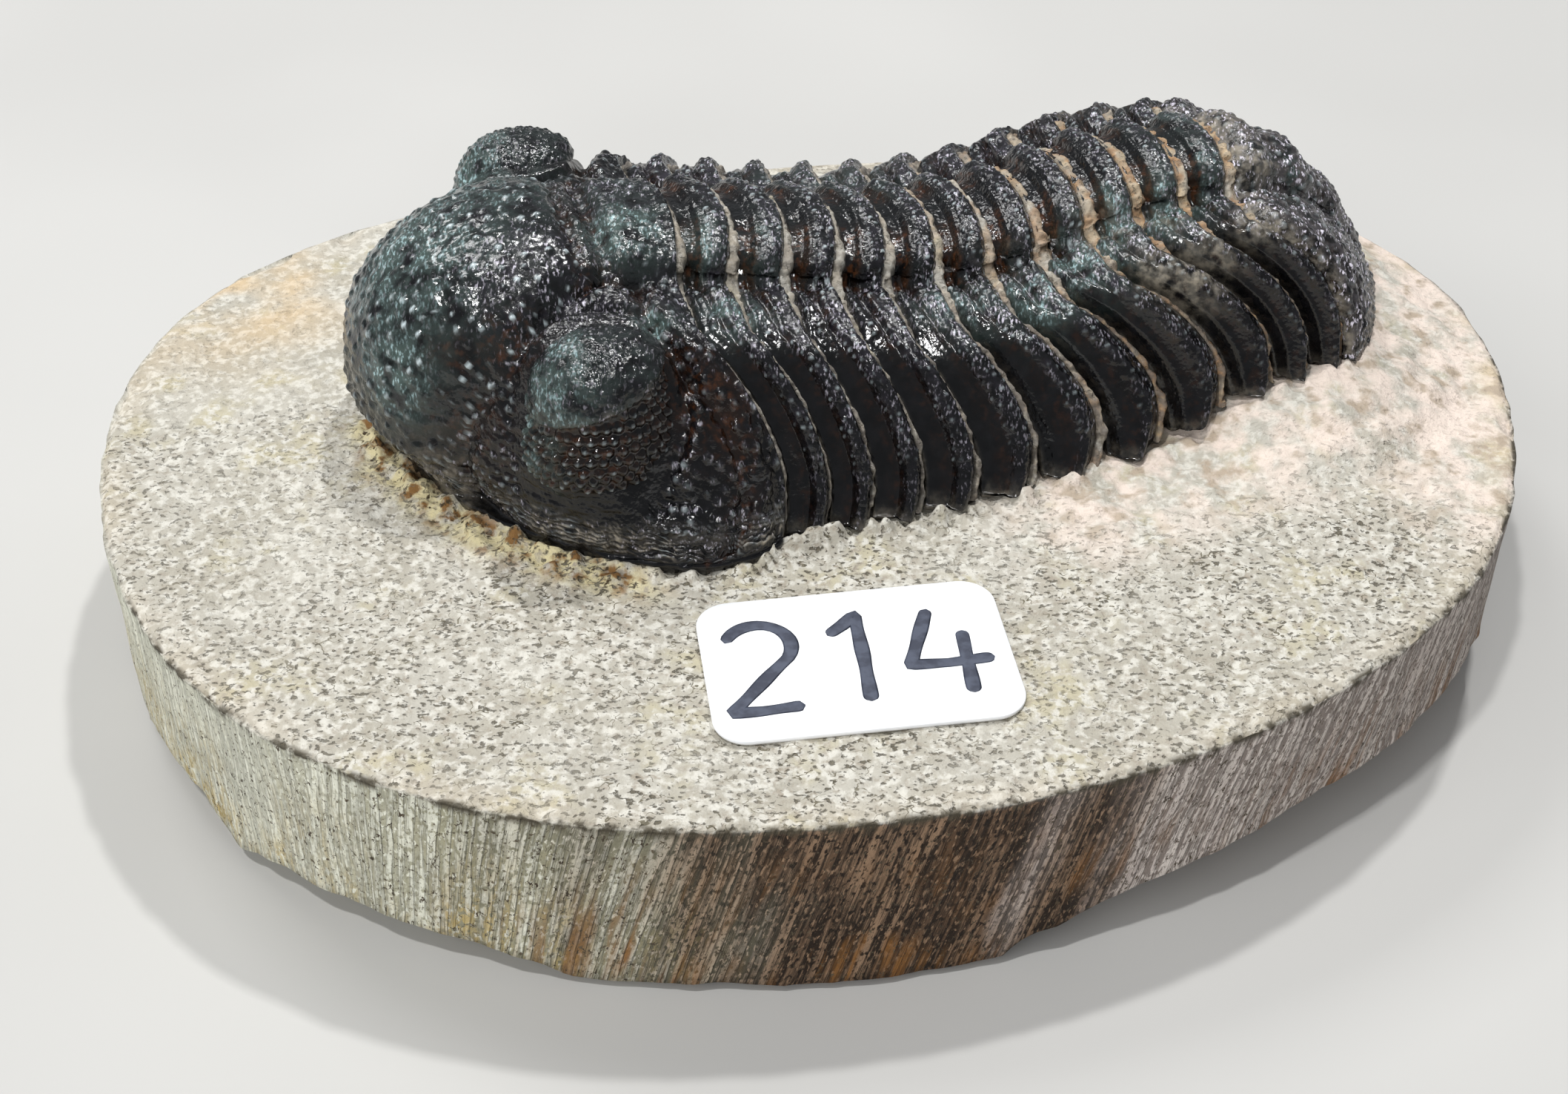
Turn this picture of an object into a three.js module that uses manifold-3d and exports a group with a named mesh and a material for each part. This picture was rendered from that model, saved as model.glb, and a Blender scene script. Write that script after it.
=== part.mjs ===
// A phacopid trilobite lying on an oval slab of limestone, with a paper number label in front of it.
// Millimetres, +Z up. The origin is the middle of the slab's underside, and the head points to -X.
import * as THREE from "three";
import { mergeVertices } from "three/addons/utils/BufferGeometryUtils.js";
import Module from "manifold-3d";

const wasm = await Module();
wasm.setup();

const { clamp, lerp, smoothstep, degToRad } = THREE.MathUtils;

// Slab
const SLAB_LENGTH = 94.6;
const SLAB_WIDTH = 73.2;
const SLAB_HEIGHT = 13.6;
// How the sawn outline departs from an ellipse: lobes around it, their size, and where one of them points
const OUTLINE_LOBES = [
  { lobes: 1, size: 0.031, toward: 84 },
  { lobes: 2, size: 0.051, toward: 46 },
  { lobes: 3, size: 0.035, toward: 34 },
  { lobes: 4, size: 0.022, toward: -39 },
];
// Stretches broken out of the bottom rim: direction and half width in degrees, height in mm
const RIM_CHIPS = [
  { toward: -40, half: 34, height: 4.6 },
  { toward: -64, half: 12, height: 2.4 },
  { toward: -122, half: 15, height: 1.9 },
  { toward: -146, half: 10, height: 2.7 },
  { toward: 168, half: 28, height: 2.2 },
  { toward: 95, half: 34, height: 3.2 },
  { toward: 32, half: 28, height: 3.8 },
];

// Where the fossil lies on the slab: the middle of the body behind the eyes, and the turn of its length
const FOSSIL_AT = [-16.4, 2.6];
const FOSSIL_TURN = 16.4;

// Thorax: eleven plates between twelve seams, counted from the head
const SEGMENTS = 11;
const FIRST_SEAM_AT = 6.3;
const SEGMENT_PITCH = 3.48;
const SEAM_GAP = 0.3;
// Body sizes at six equal steps from the first seam to the last
const CREST_HEIGHT = [14.5, 12.9, 11.5, 11.8, 13.6, 14.0];
const AXIS_HALF_WIDTH = [5.9, 5.9, 5.9, 5.8, 5.5, 4.8];
const BODY_HALF_WIDTH = [18.8, 18.8, 18.6, 17.0, 15.4, 13.8];
const BACKWARD_SWEEP = [3.8, 2.5, 2.8, 5.4, 7.0, 5.9];
// The rings bow back at the crest, more where the crest falls and less where it rises
const RING_BOW = 0.8;
const RING_LEAN = 0.6;
const RING_LEAN_SEAM = 2.7;
// A body section: the axial arch, the furrow beside it, the level inner pleura, the fulcrum, the steep outer pleura
const AXIS_SHARE = 0.36;
const FURROW_DROP = 2.0;
const FULCRUM_SHARE = 0.41;
const FULCRUM_DROP_SHARE = 0.215;
const SHOULDER_SLOPE = 0.25;
const SWEEP_SPAN = [0.34, 0.93];
const TIP_ROLL = 0.8;
// Relief of one plate from its front edge to its rear edge: the sunken furrow, then the raised band
const PLATE_RELIEF = [
  { along: 0, ring: -1.0, pleura: -0.7 },
  { along: 0.3, ring: -1.1, pleura: -0.3 },
  { along: 0.52, ring: 0, pleura: 0 },
  { along: 0.8, ring: 0.15, pleura: 0.15 },
  { along: 1, ring: -0.3, pleura: -0.2 },
];
const EDGE_THICKNESS = 0.6;

// Head shield
const HEAD_HALF_WIDTH = 20.2;
const HEAD_WIDEST_AT = 5;
const HEAD_FORWARD = 17.5;
const HEAD_ROUNDNESS = 1.6;
const HEAD_OVERHANG = 2.0;
const GENAL_CORNER = 4.3;
const CHEEK_RISE = 20.5;
const CHEEK_ROUNDNESS = [0.85, 0.45];
const CHEEK_TOP = 12.9;
const BORDER_HEIGHT = 1.5;
const GLABELLA_WIDEST_AT = -5.5;
const GLABELLA_HALF_WIDTH = 9.7;
const GLABELLA_FRONT = -14.5;
const GLABELLA_HEIGHT = 15.7;
const GLABELLA_CREST_AT = -2;
const GLABELLA_BACK_SLOPE = 0.16;
const NOSE_HEIGHT = 4.5;
const OCCIPITAL_FURROW_AT = 1.8;
const EYE_AT = [-1.2, 13.0];
const EYE_HALF_SIZE = [4.9, 4.3];
const EYE_HEIGHT = 14.2;
const EYE_TOP_SHARE = 0.6;

// Tail shield
const TAIL_LENGTH = 8.2;
const TAIL_CORNER_AT = 50.4;
const TAIL_HALF_WIDTH = 13.6;
const TAIL_POINTEDNESS = 1.4;
const TAIL_EDGE_HEIGHT = 1.9;
const TAIL_RINGS = 5;
const TAIL_RING_HEIGHT = 0.35;

// Mound of rock that carries the tail end
const MOUND_AT = 46;
const MOUND_HALF_SIZE = [13.5, 17.5];
const MOUND_HEIGHT = 2.3;
const MOUND_WITHIN = 0.97;

// Paper label
const LABEL_SIZE = [18, 12, 0.3];
const LABEL_CORNER = 2;
const LABEL_AT = [2.2, -23.4];
const LABEL_TURN = 8.2;
const LABEL_GAP = 0.1;

// Helpers

const bump = (x) => Math.exp(-x * x);

// The lesser of two heights, rounded where they meet
const softMin = (a, b, width) =>
  Math.min(a, b) - width * 0.25 * Math.max(0, 1 - Math.abs(a - b) / width) ** 2;

// A smooth curve through values at equal steps from the first seam to the last
function alongThorax(values) {
  const curve = new THREE.SplineCurve(values.map((value, i) => new THREE.Vector2(i, value)));
  return (seam) => curve.getPoint(clamp(seam / SEGMENTS, 0, 1)).y;
}

// Turns a closed surface's faces outward and gives it normals
function outward(positions, index) {
  const geometry = new THREE.BufferGeometry();
  geometry.setAttribute("position", new THREE.Float32BufferAttribute(positions, 3));
  const corner = (i) => new THREE.Vector3().fromArray(positions, 3 * i);
  let volume = 0;
  for (let i = 0; i < index.length; i += 3)
    volume += corner(index[i]).dot(corner(index[i + 1]).cross(corner(index[i + 2])));
  geometry.setIndex(volume < 0 ? index.reverse() : index);
  geometry.computeVertexNormals();
  return geometry;
}

// A closed solid through a row of loops with equal counts of points
function loft(loops) {
  const count = loops[0].length;
  const index = [];
  for (let i = 0; i + 1 < loops.length; i++)
    for (let j = 0; j < count; j++) {
      const a = i * count + j;
      const b = i * count + ((j + 1) % count);
      index.push(a, b, b + count, a, b + count, a + count);
    }
  // Each end is a fan from the loop's last point
  const last = (loops.length - 1) * count;
  for (let j = 0; j < count - 2; j++) {
    index.push(count - 1, j + 1, j);
    index.push(last + count - 1, last + j, last + j + 1);
  }
  return outward(loops.flat().flatMap((p) => p.toArray()), index);
}

// A closed solid of rings of equal counts, one above the other, between a lowest and a highest middle point
function stackedRings(rings, bottom, top) {
  const count = rings[0].length;
  const index = [];
  const last = rings.length * count;
  for (let j = 0; j < count; j++) {
    const next = (j + 1) % count;
    index.push(last, next, j);
    index.push(last + 1, last - count + j, last - count + next);
    for (let i = 0; i + 1 < rings.length; i++) {
      const a = i * count + j;
      const b = i * count + next;
      index.push(a, b, b + count, a, b + count, a + count);
    }
  }
  return outward([...rings.flat(), bottom, top].flatMap((p) => p.toArray()), index);
}

// Slab outline: the point at an angle, centred and brought to the slab's length and width
function rawOutline(angle) {
  const lobe = ({ lobes, size, toward }) => size * Math.cos(lobes * (angle - degToRad(toward)));
  const reach = OUTLINE_LOBES.reduce((sum, part) => sum + lobe(part), 1);
  return new THREE.Vector2(SLAB_LENGTH * reach * Math.cos(angle), SLAB_WIDTH * reach * Math.sin(angle));
}

const outlineBox = new THREE.Box2().setFromPoints(
  Array.from({ length: 720 }, (_, i) => rawOutline((i * Math.PI) / 360)),
);
const outlineMiddle = outlineBox.getCenter(new THREE.Vector2());
const outlineSize = outlineBox.getSize(new THREE.Vector2());

function slabOutline(angle) {
  const p = rawOutline(angle).sub(outlineMiddle);
  return new THREE.Vector2((p.x * SLAB_LENGTH) / outlineSize.x, (p.y * SLAB_WIDTH) / outlineSize.y);
}

// Distance from the middle to the slab's side in a direction, from the outline's turned points
const outlineFan = Array.from({ length: 361 }, (_, i) => {
  const p = slabOutline((i * Math.PI) / 180);
  return { direction: THREE.MathUtils.euclideanModulo(Math.atan2(p.y, p.x), 2 * Math.PI), reach: p.length() };
});

function slabReach(direction) {
  const wanted = THREE.MathUtils.euclideanModulo(direction, 2 * Math.PI);
  const away = (spoke) => Math.abs(spoke.direction - wanted);
  return outlineFan.reduce((best, spoke) => (away(spoke) < away(best) ? spoke : best)).reach;
}

// Height of the broken bottom rim at an angle
function rimHeight(angle) {
  const turn = THREE.MathUtils.radToDeg(angle);
  let height = 0.35;
  for (const chip of RIM_CHIPS) {
    const away = Math.abs(THREE.MathUtils.euclideanModulo(turn - chip.toward + 180, 360) - 180) / chip.half;
    height = Math.max(height, chip.height * Math.sqrt(Math.max(0, 1 - away ** 3)));
  }
  return height + 0.3 * Math.sin(angle * 23) * Math.sin(angle * 9 + 1);
}

function slabSolid() {
  const directions = 84;
  const angles = Array.from({ length: directions }, (_, i) => (i * 2 * Math.PI) / directions);
  const ring = (share, height) =>
    angles.map((angle) => {
      const p = slabOutline(angle).multiplyScalar(share);
      return new THREE.Vector3(p.x, p.y, height(angle));
    });
  const rings = [
    ring(0.4, () => 0),
    ring(0.78, () => 0),
    ring(0.9, (angle) => 0.35 * rimHeight(angle)),
    ring(0.975, (angle) => 0.85 * rimHeight(angle)),
    ring(0.995, (angle) => rimHeight(angle) + 0.3),
    ring(1, (angle) => rimHeight(angle) + 1.2),
    ring(1, () => SLAB_HEIGHT - 0.5),
    ring(0.992, () => SLAB_HEIGHT),
    ring(0.7, () => SLAB_HEIGHT),
    ring(0.35, () => SLAB_HEIGHT),
  ];
  return stackedRings(rings, new THREE.Vector3(0, 0, 0), new THREE.Vector3(0, 0, SLAB_HEIGHT));
}

// Body surface, in the fossil's own frame: +X along the body to the tail, +Y across it, z over the slab's top

const crestHeight = alongThorax(CREST_HEIGHT);
const axisHalfWidth = alongThorax(AXIS_HALF_WIDTH);
const bodyHalfWidth = alongThorax(BODY_HALF_WIDTH);
const backwardSweep = alongThorax(BACKWARD_SWEEP);

// Level that the plates' lower edges lie on: the slab's top, then the mound
const restLevel = (along) =>
  SEAM_GAP + MOUND_HEIGHT * smoothstep(along, 34, 44) - 0.55 * MOUND_HEIGHT * smoothstep(along, 50, 58);

// Distance across the body of a share of its width, -1 to 1: the axis takes the inner share
function acrossAt(seam, share) {
  const axis = axisHalfWidth(seam);
  const side = Math.abs(share);
  const across = side < AXIS_SHARE
    ? (axis * side) / AXIS_SHARE
    : lerp(axis, bodyHalfWidth(seam), (side - AXIS_SHARE) / (1 - AXIS_SHARE));
  return Math.sign(share) * across;
}

// How far along the body a seam runs at a distance across it
function seamAlong(seam, across) {
  const axis = axisHalfWidth(seam);
  const side = Math.abs(across);
  const lean = RING_BOW + RING_LEAN * Math.cos(((seam - RING_LEAN_SEAM) * Math.PI) / 6);
  const furrow = FIRST_SEAM_AT + SEGMENT_PITCH * seam;
  if (side < axis) return furrow + lean * (1 - (side / axis) ** 2);
  const out = (side - axis) / (bodyHalfWidth(seam) - axis);
  const roll = TIP_ROLL * (1 - smoothstep(seam, 6, 9)) * Math.max(0, (out - 0.85) / 0.15) ** 2;
  return furrow + backwardSweep(seam) * smoothstep(out, ...SWEEP_SPAN) - roll;
}

// Height of the body's section at a seam
function sectionHeight(seam, across) {
  const side = Math.abs(across);
  const axis = axisHalfWidth(seam);
  const reach = bodyHalfWidth(seam);
  const fulcrum = lerp(axis, reach, FULCRUM_SHARE);
  const furrow = crestHeight(seam) - FURROW_DROP;
  const bend = crestHeight(seam) - FULCRUM_DROP_SHARE * fulcrum;
  if (side < axis) return furrow + FURROW_DROP * (1 - (side / axis) ** 2.2) ** 0.6;
  if (side < fulcrum) return lerp(furrow, bend, (side - axis) / (fulcrum - axis));
  const t = clamp((side - fulcrum) / (reach - fulcrum), 0, 1);
  const shoulder = bend - SHOULDER_SLOPE * (reach - fulcrum);
  const tip = restLevel(seamAlong(seam, reach));
  return (1 - t) ** 2 * bend + 2 * t * (1 - t) * shoulder + t * t * tip;
}

function thoraxPoint(seam, share) {
  const across = acrossAt(seam, share);
  return new THREE.Vector3(seamAlong(seam, across), across, sectionHeight(seam, across));
}

// Keeps a point over its plate's lower edge
function overEdge(point) {
  point.z = Math.max(point.z, restLevel(point.x) + EDGE_THICKNESS);
  return point;
}

// Moves a point of a smooth surface out along its normal
function raised(surface, a, b, height) {
  const step = 0.02;
  const along = surface(a + step, b).sub(surface(a - step, b));
  const across = surface(a, b + step).sub(surface(a, b - step));
  return overEdge(surface(a, b).addScaledVector(along.cross(across).normalize(), height));
}

// Closes a column of top points, front to rear, along the level that the plate rests on
function closedColumn(top, pointsPerFoot) {
  const feet = top.filter((_, i) => i % pointsPerFoot === 0).reverse();
  return [...top, ...feet.map((p) => new THREE.Vector3(p.x, p.y, restLevel(p.x)))];
}

// Shares across the body for a count of columns on each side, with a column in each axial furrow
function sharesAcross(onAxis, onPleura) {
  const half = [];
  for (let i = 1; i <= onAxis; i++) half.push((AXIS_SHARE * i) / onAxis);
  for (let i = 1; i <= onPleura; i++) half.push(lerp(AXIS_SHARE, 1, i / onPleura));
  return [...half.map((s) => -s).reverse(), 0, ...half];
}

function segmentSolid(number) {
  const front = number - 1 + SEAM_GAP / 2 / SEGMENT_PITCH;
  const rear = number - SEAM_GAP / 2 / SEGMENT_PITCH;
  const columns = sharesAcross(4, 7).map((share) => {
    const onRing = Math.abs(share) <= AXIS_SHARE;
    return closedColumn(
      PLATE_RELIEF.map(({ along, ring, pleura }) => {
        const seam = lerp(front, rear, along);
        const top = raised(thoraxPoint, seam, share, onRing ? ring : pleura);
        // The end rows stay in the plate's front and rear faces
        return along === 0 || along === 1 ? overEdge(thoraxPoint(seam, share).setZ(top.z)) : top;
      }),
      PLATE_RELIEF.length - 1,
    );
  });
  return loft(columns);
}

// Head shield

const headSuper = (x) => Math.max(0, 1 - Math.abs(x) ** HEAD_ROUNDNESS) ** (1 / HEAD_ROUNDNESS);
const headMargin = (across) => HEAD_WIDEST_AT - HEAD_FORWARD * headSuper(across / HEAD_HALF_WIDTH);

// The head's front stands out over its lower edge
const headOverhang = (across) => HEAD_OVERHANG * (1 - smoothstep(Math.abs(across), 6, 15));
const headFront = (across) => headMargin(across) - headOverhang(across);

function headRear(across) {
  const side = Math.abs(across);
  const reach = bodyHalfWidth(0);
  if (side < reach) return seamAlong(0, across) - SEAM_GAP / 2;
  const corner = (side - reach) / (HEAD_HALF_WIDTH - reach);
  return HEAD_WIDEST_AT + GENAL_CORNER * Math.sqrt(Math.max(0, 1 - corner ** 2));
}

// 0 at the body's middle and 1 on the head's margin
const headReach = (along, across) =>
  (Math.max(0, HEAD_WIDEST_AT - along) / HEAD_FORWARD) ** HEAD_ROUNDNESS +
  (Math.abs(across) / HEAD_HALF_WIDTH) ** HEAD_ROUNDNESS;

function cheekHeight(along, across) {
  const reach = headReach(along, across);
  // The cheek slopes behind the eye and falls steeply below and before it
  const roundness = lerp(...CHEEK_ROUNDNESS, smoothstep(HEAD_WIDEST_AT - along, 2, 8));
  const field = softMin(CHEEK_RISE * Math.max(0, 1 - reach) ** roundness, CHEEK_TOP, 2);
  const border = SEAM_GAP + BORDER_HEIGHT * Math.sqrt(Math.max(0, 1 - ((reach - 0.92) / 0.08) ** 2));
  return Math.max(field - 0.5 * bump((reach - 0.83) / 0.04), border);
}

function glabellaHalfWidth(along) {
  const forward = (GLABELLA_WIDEST_AT - along) / (GLABELLA_WIDEST_AT - GLABELLA_FRONT);
  if (forward > 0) return GLABELLA_HALF_WIDTH * Math.sqrt(Math.max(0, 1 - forward ** 2));
  return lerp(GLABELLA_HALF_WIDTH, axisHalfWidth(0) - 0.2, smoothstep(along, GLABELLA_WIDEST_AT, 2));
}

function glabellaCrest(along) {
  const forward = Math.max(0, GLABELLA_CREST_AT - along) / (GLABELLA_CREST_AT - GLABELLA_FRONT);
  const backward = Math.max(0, along - GLABELLA_CREST_AT);
  const dome = Math.max(0, 1 - forward ** 1.85) ** 0.54;
  const furrows = 1.3 * bump((along - OCCIPITAL_FURROW_AT) / 0.8) + 0.8 * bump((along - 0.2) / 0.5);
  return NOSE_HEIGHT + (GLABELLA_HEIGHT - NOSE_HEIGHT) * dome - GLABELLA_BACK_SLOPE * backward - furrows;
}

function glabellaHeight(along, across) {
  const halfWidth = glabellaHalfWidth(along);
  const side = Math.abs(across) / Math.max(halfWidth, 0.01);
  const foot = 1 + 12.4 * smoothstep(along, -15, 1.5) ** 1.2;
  if (side >= 1) return 0;
  return foot + (glabellaCrest(along) - foot) * Math.sqrt(1 - side ** 2.3);
}

function eyeHeight(along, across, base) {
  const forward = along - EYE_AT[0];
  const out = Math.abs(across) - EYE_AT[1];
  const reach = Math.hypot(forward / EYE_HALF_SIZE[0], out / EYE_HALF_SIZE[1]);
  const top = EYE_HEIGHT - 0.09 * (out + 1.4) ** 2 - 0.12 * forward ** 2;
  const wall = clamp((reach - EYE_TOP_SHARE) / (1 - EYE_TOP_SHARE), 0, 1);
  const moat = 0.5 * bump((reach - 1.1) / 0.1);
  return Math.max(base - moat, reach < 1 ? base + (top - base) * (1 - wall ** 1.6) : 0);
}

function headPoint(back, across) {
  const front = headFront(across);
  const rear = headRear(across);
  const along = lerp(front, rear, back);
  const cheek = cheekHeight(along, across);
  const ridge = Math.abs(across) > axisHalfWidth(0) ? 0.8 * bump((rear - along - 2.6) / 0.6) : 0;
  const axialFurrow = 0.5 * bump((Math.abs(across) - glabellaHalfWidth(along)) / 0.8);
  const field = Math.max(cheek - ridge, glabellaHeight(along, across)) - axialFurrow;
  const height = eyeHeight(along, across, field);
  const joined = lerp(height, sectionHeight(0, across), smoothstep(back, 0.86, 1));
  const edge = SEAM_GAP + EDGE_THICKNESS;
  const tuck = headOverhang(across) * (1 - back) * (1 - smoothstep(joined, edge, NOSE_HEIGHT));
  return new THREE.Vector3(along + tuck, across, Math.max(joined, edge));
}

function headSolid() {
  const columns = 40;
  const rows = 26;
  const turn = degToRad(86.5);
  const loops = Array.from({ length: columns + 1 }, (_, i) => {
    const across = HEAD_HALF_WIDTH * Math.sin(lerp(-turn, turn, i / columns));
    const top = Array.from({ length: rows + 1 }, (_, j) => headPoint((j / rows) ** 1.35, across));
    return closedColumn(top, rows);
  });
  return loft(loops);
}

// Tail shield: a quarter dome from the last seam down to its rounded margin
function tailPoint(back, share) {
  const start = thoraxPoint(SEGMENTS, share);
  const side = Math.abs(share);
  const fan = side < AXIS_SHARE
    ? (2.5 * side) / AXIS_SHARE
    : lerp(2.5, TAIL_HALF_WIDTH - 0.6, (side - AXIS_SHARE) / (1 - AXIS_SHARE));
  const round = (1 - (fan / TAIL_HALF_WIDTH) ** TAIL_POINTEDNESS) ** (1 / TAIL_POINTEDNESS);
  const out = Math.sin((back * Math.PI) / 2);
  const fall = Math.max(0, Math.cos((back * Math.PI) / 2)) ** 1.8;
  return new THREE.Vector3(
    lerp(start.x + SEAM_GAP / 2, TAIL_CORNER_AT + TAIL_LENGTH * round, out),
    lerp(start.y, Math.sign(share) * fan, out),
    lerp(TAIL_EDGE_HEIGHT, start.z, fall),
  );
}

function tailSolid() {
  const rows = 20;
  const columns = sharesAcross(4, 9).map((share) => {
    const top = Array.from({ length: rows + 1 }, (_, j) => {
      const back = j / rows;
      const ridge = TAIL_RING_HEIGHT * Math.cos(2 * Math.PI * (TAIL_RINGS * back + 0.5)) * (1 - back);
      const furrow = Math.abs(Math.abs(share) - AXIS_SHARE) < 0.01 ? 0.5 * (1 - back) : 0;
      if (j === 0 || j === rows) return overEdge(tailPoint(back, share));
      return raised(tailPoint, back, share, ridge - furrow);
    });
    return closedColumn(top, rows / 5);
  });
  return loft(columns);
}

// Mound under the tail end, sunk a little into the slab
function moundSolid() {
  const directions = 40;
  const ring = (share, height) =>
    Array.from({ length: directions }, (_, i) => {
      const angle = (i * 2 * Math.PI) / directions;
      const x = MOUND_AT + MOUND_HALF_SIZE[0] * share * Math.cos(angle);
      return new THREE.Vector3(x, MOUND_HALF_SIZE[1] * share * Math.sin(angle), height(x));
    });
  const level = (x) => restLevel(x) - SEAM_GAP;
  const rings = [
    ring(1.28, () => -1),
    ring(1.3, () => -0.3),
    ring(1.12, (x) => 0.55 * level(x) - 0.05),
    ring(1, (x) => level(x) - 0.02),
    ring(0.8, (x) => level(x) - 0.02),
    ring(0.6, (x) => level(x) - 0.02),
    ring(0.4, (x) => level(x) - 0.02),
    ring(0.2, (x) => level(x) - 0.02),
  ];
  const middle = (height) => new THREE.Vector3(MOUND_AT, 0, height);
  return stackedRings(rings, middle(-1), middle(level(MOUND_AT)));
}

// Draws the points of a geometry that reach over the slab's side in to it
function withinOutline(geometry, share) {
  const points = geometry.getAttribute("position");
  for (let i = 0; i < points.count; i++) {
    const [x, y] = [points.getX(i), points.getY(i)];
    const inside = Math.min(1, (share * slabReach(Math.atan2(y, x))) / Math.hypot(x, y));
    points.setXY(i, x * inside, y * inside);
  }
  return geometry;
}

// A geometry in its place as a solid that can be joined, and the way back
function solidOf(geometry) {
  const bare = geometry.clone();
  bare.deleteAttribute("normal");
  bare.deleteAttribute("uv");
  const merged = mergeVertices(bare);
  return new wasm.Manifold(
    new wasm.Mesh({
      numProp: 3,
      vertProperties: new Float32Array(merged.attributes.position.array),
      triVerts: new Uint32Array(merged.index.array),
    }),
  );
}

function geometryOf(solid) {
  const mesh = solid.getMesh();
  const geometry = new THREE.BufferGeometry();
  geometry.setAttribute("position", new THREE.BufferAttribute(mesh.vertProperties, 3));
  geometry.setIndex(new THREE.BufferAttribute(mesh.triVerts, 1));
  geometry.computeVertexNormals();
  return geometry;
}

function labelGeometry() {
  const [width, height, thickness] = LABEL_SIZE;
  const shape = new THREE.Shape();
  for (const [x, y, start] of [
    [1, 1, 0],
    [-1, 1, 90],
    [-1, -1, 180],
    [1, -1, 270],
  ]) {
    const centre = [x * (width / 2 - LABEL_CORNER), y * (height / 2 - LABEL_CORNER)];
    shape.absarc(...centre, LABEL_CORNER, degToRad(start), degToRad(start + 90));
  }
  return new THREE.ExtrudeGeometry(shape, { depth: thickness, bevelEnabled: false, curveSegments: 6 });
}

// Finishes
const limestone = new THREE.MeshStandardMaterial({ color: 0xd2cab9, roughness: 0.95, metalness: 0 });
const calcite = new THREE.MeshStandardMaterial({ color: 0x1a1b1d, roughness: 0.35, metalness: 0 });
const paper = new THREE.MeshStandardMaterial({ color: 0xf3f4f5, roughness: 0.6, metalness: 0 });

function piece(name, geometry, material) {
  const mesh = new THREE.Mesh(geometry, material);
  mesh.name = name;
  return mesh;
}

// Assembly
const fossil = new THREE.Group();
fossil.position.set(...FOSSIL_AT, SLAB_HEIGHT);
fossil.rotation.z = degToRad(FOSSIL_TURN);
fossil.updateMatrix();
fossil.add(piece("cephalon", headSolid(), calcite));
for (let number = 1; number <= SEGMENTS; number++) {
  const name = `thorax_segment_${String(number).padStart(2, "0")}`;
  fossil.add(piece(name, segmentSolid(number), calcite));
}
fossil.add(piece("pygidium", tailSolid(), calcite));

const mound = withinOutline(moundSolid().applyMatrix4(fossil.matrix), MOUND_WITHIN);
const rock = solidOf(slabSolid()).add(solidOf(mound));

const label = piece("label", labelGeometry(), paper);
label.position.set(...LABEL_AT, SLAB_HEIGHT + LABEL_GAP);
label.rotation.z = degToRad(LABEL_TURN);

const trilobite = new THREE.Group();
trilobite.add(piece("matrix", geometryOf(rock), limestone), fossil, label);
export default trilobite;
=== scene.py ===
# %% [markdown]
# A trilobite is a sea animal with a jointed shell. This one, of the phacopid family, lies in black calcite on
# an oval slab of pale limestone. A preparator sawed the slab, then blew the rock away from the shell with
# fine powder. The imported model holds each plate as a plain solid. This script gives every plate, the rock
# and the paper label the fine surface that the eye sees, and it keeps all of them where the solids stand.

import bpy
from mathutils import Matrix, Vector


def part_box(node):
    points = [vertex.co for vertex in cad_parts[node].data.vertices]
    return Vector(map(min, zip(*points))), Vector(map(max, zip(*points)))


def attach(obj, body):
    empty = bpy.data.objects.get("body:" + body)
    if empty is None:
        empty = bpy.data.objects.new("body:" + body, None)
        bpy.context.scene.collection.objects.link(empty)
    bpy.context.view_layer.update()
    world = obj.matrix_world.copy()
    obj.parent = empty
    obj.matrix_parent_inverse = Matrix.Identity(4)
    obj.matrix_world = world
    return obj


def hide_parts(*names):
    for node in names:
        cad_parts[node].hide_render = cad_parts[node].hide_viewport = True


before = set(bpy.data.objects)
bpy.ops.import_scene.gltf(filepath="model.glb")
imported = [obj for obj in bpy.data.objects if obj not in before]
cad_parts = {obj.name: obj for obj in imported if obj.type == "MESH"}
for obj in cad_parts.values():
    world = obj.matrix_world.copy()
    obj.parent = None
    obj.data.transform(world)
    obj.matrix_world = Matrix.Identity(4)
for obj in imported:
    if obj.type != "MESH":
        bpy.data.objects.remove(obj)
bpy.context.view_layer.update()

# %% [markdown]
# The real thing is measured in millimetres, so every size below is one, and `MM` turns it into Blender's
# metres only where a mesh is made. The solids could be subdivided and carved, but their facets would show
# through. So the fine surface is drawn afresh from the solids' own curves: a few named sizes along the body,
# joined by one smooth curve. Four forms are about 1 mm fuller or further back than in the solids, because a
# closer look at the stone showed them so: the glabella's top, the eyes, the bend of the pleurae and the
# slab's near right corner.

# %% Tools and units
import itertools
import math

import bpy
import numpy as np
from mathutils import Vector
from mathutils.kdtree import KDTree

MM = 0.001
slab_low, slab_high = (np.array(corner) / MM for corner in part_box("matrix"))
SLAB_LENGTH = 94.6
SLAB_WIDTH = 73.2
SLAB_HEIGHT = 13.6
FOSSIL_AT = (-16.4, 2.6)
FOSSIL_TURN = math.radians(16.4)
print("slab:", slab_low.round(1), slab_high.round(1))


# %% Smooth steps, bumps and curves
def lerp(a, b, t):
    return a + (b - a) * t


def smoothstep(x, low, high):
    t = np.clip((x - low) / (high - low), 0, 1)
    return t * t * (3 - 2 * t)


def bump(x):
    return np.exp(-x * x)


def soft_min(a, b, width):
    return np.minimum(a, b) - width / 4 * np.maximum(0, 1 - np.abs(a - b) / width) ** 2


def soft_max(a, b, width):
    return -soft_min(-a, -b, width)


def profile(x, points):
    """A height that eases from one (place, height) point to the next."""
    places, heights = (np.array(column, float) for column in zip(*points))
    i = np.clip(np.searchsorted(places, x, side="right") - 1, 0, len(places) - 2)
    return lerp(heights[i], heights[i + 1], smoothstep(x, places[i], places[i + 1]))


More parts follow.
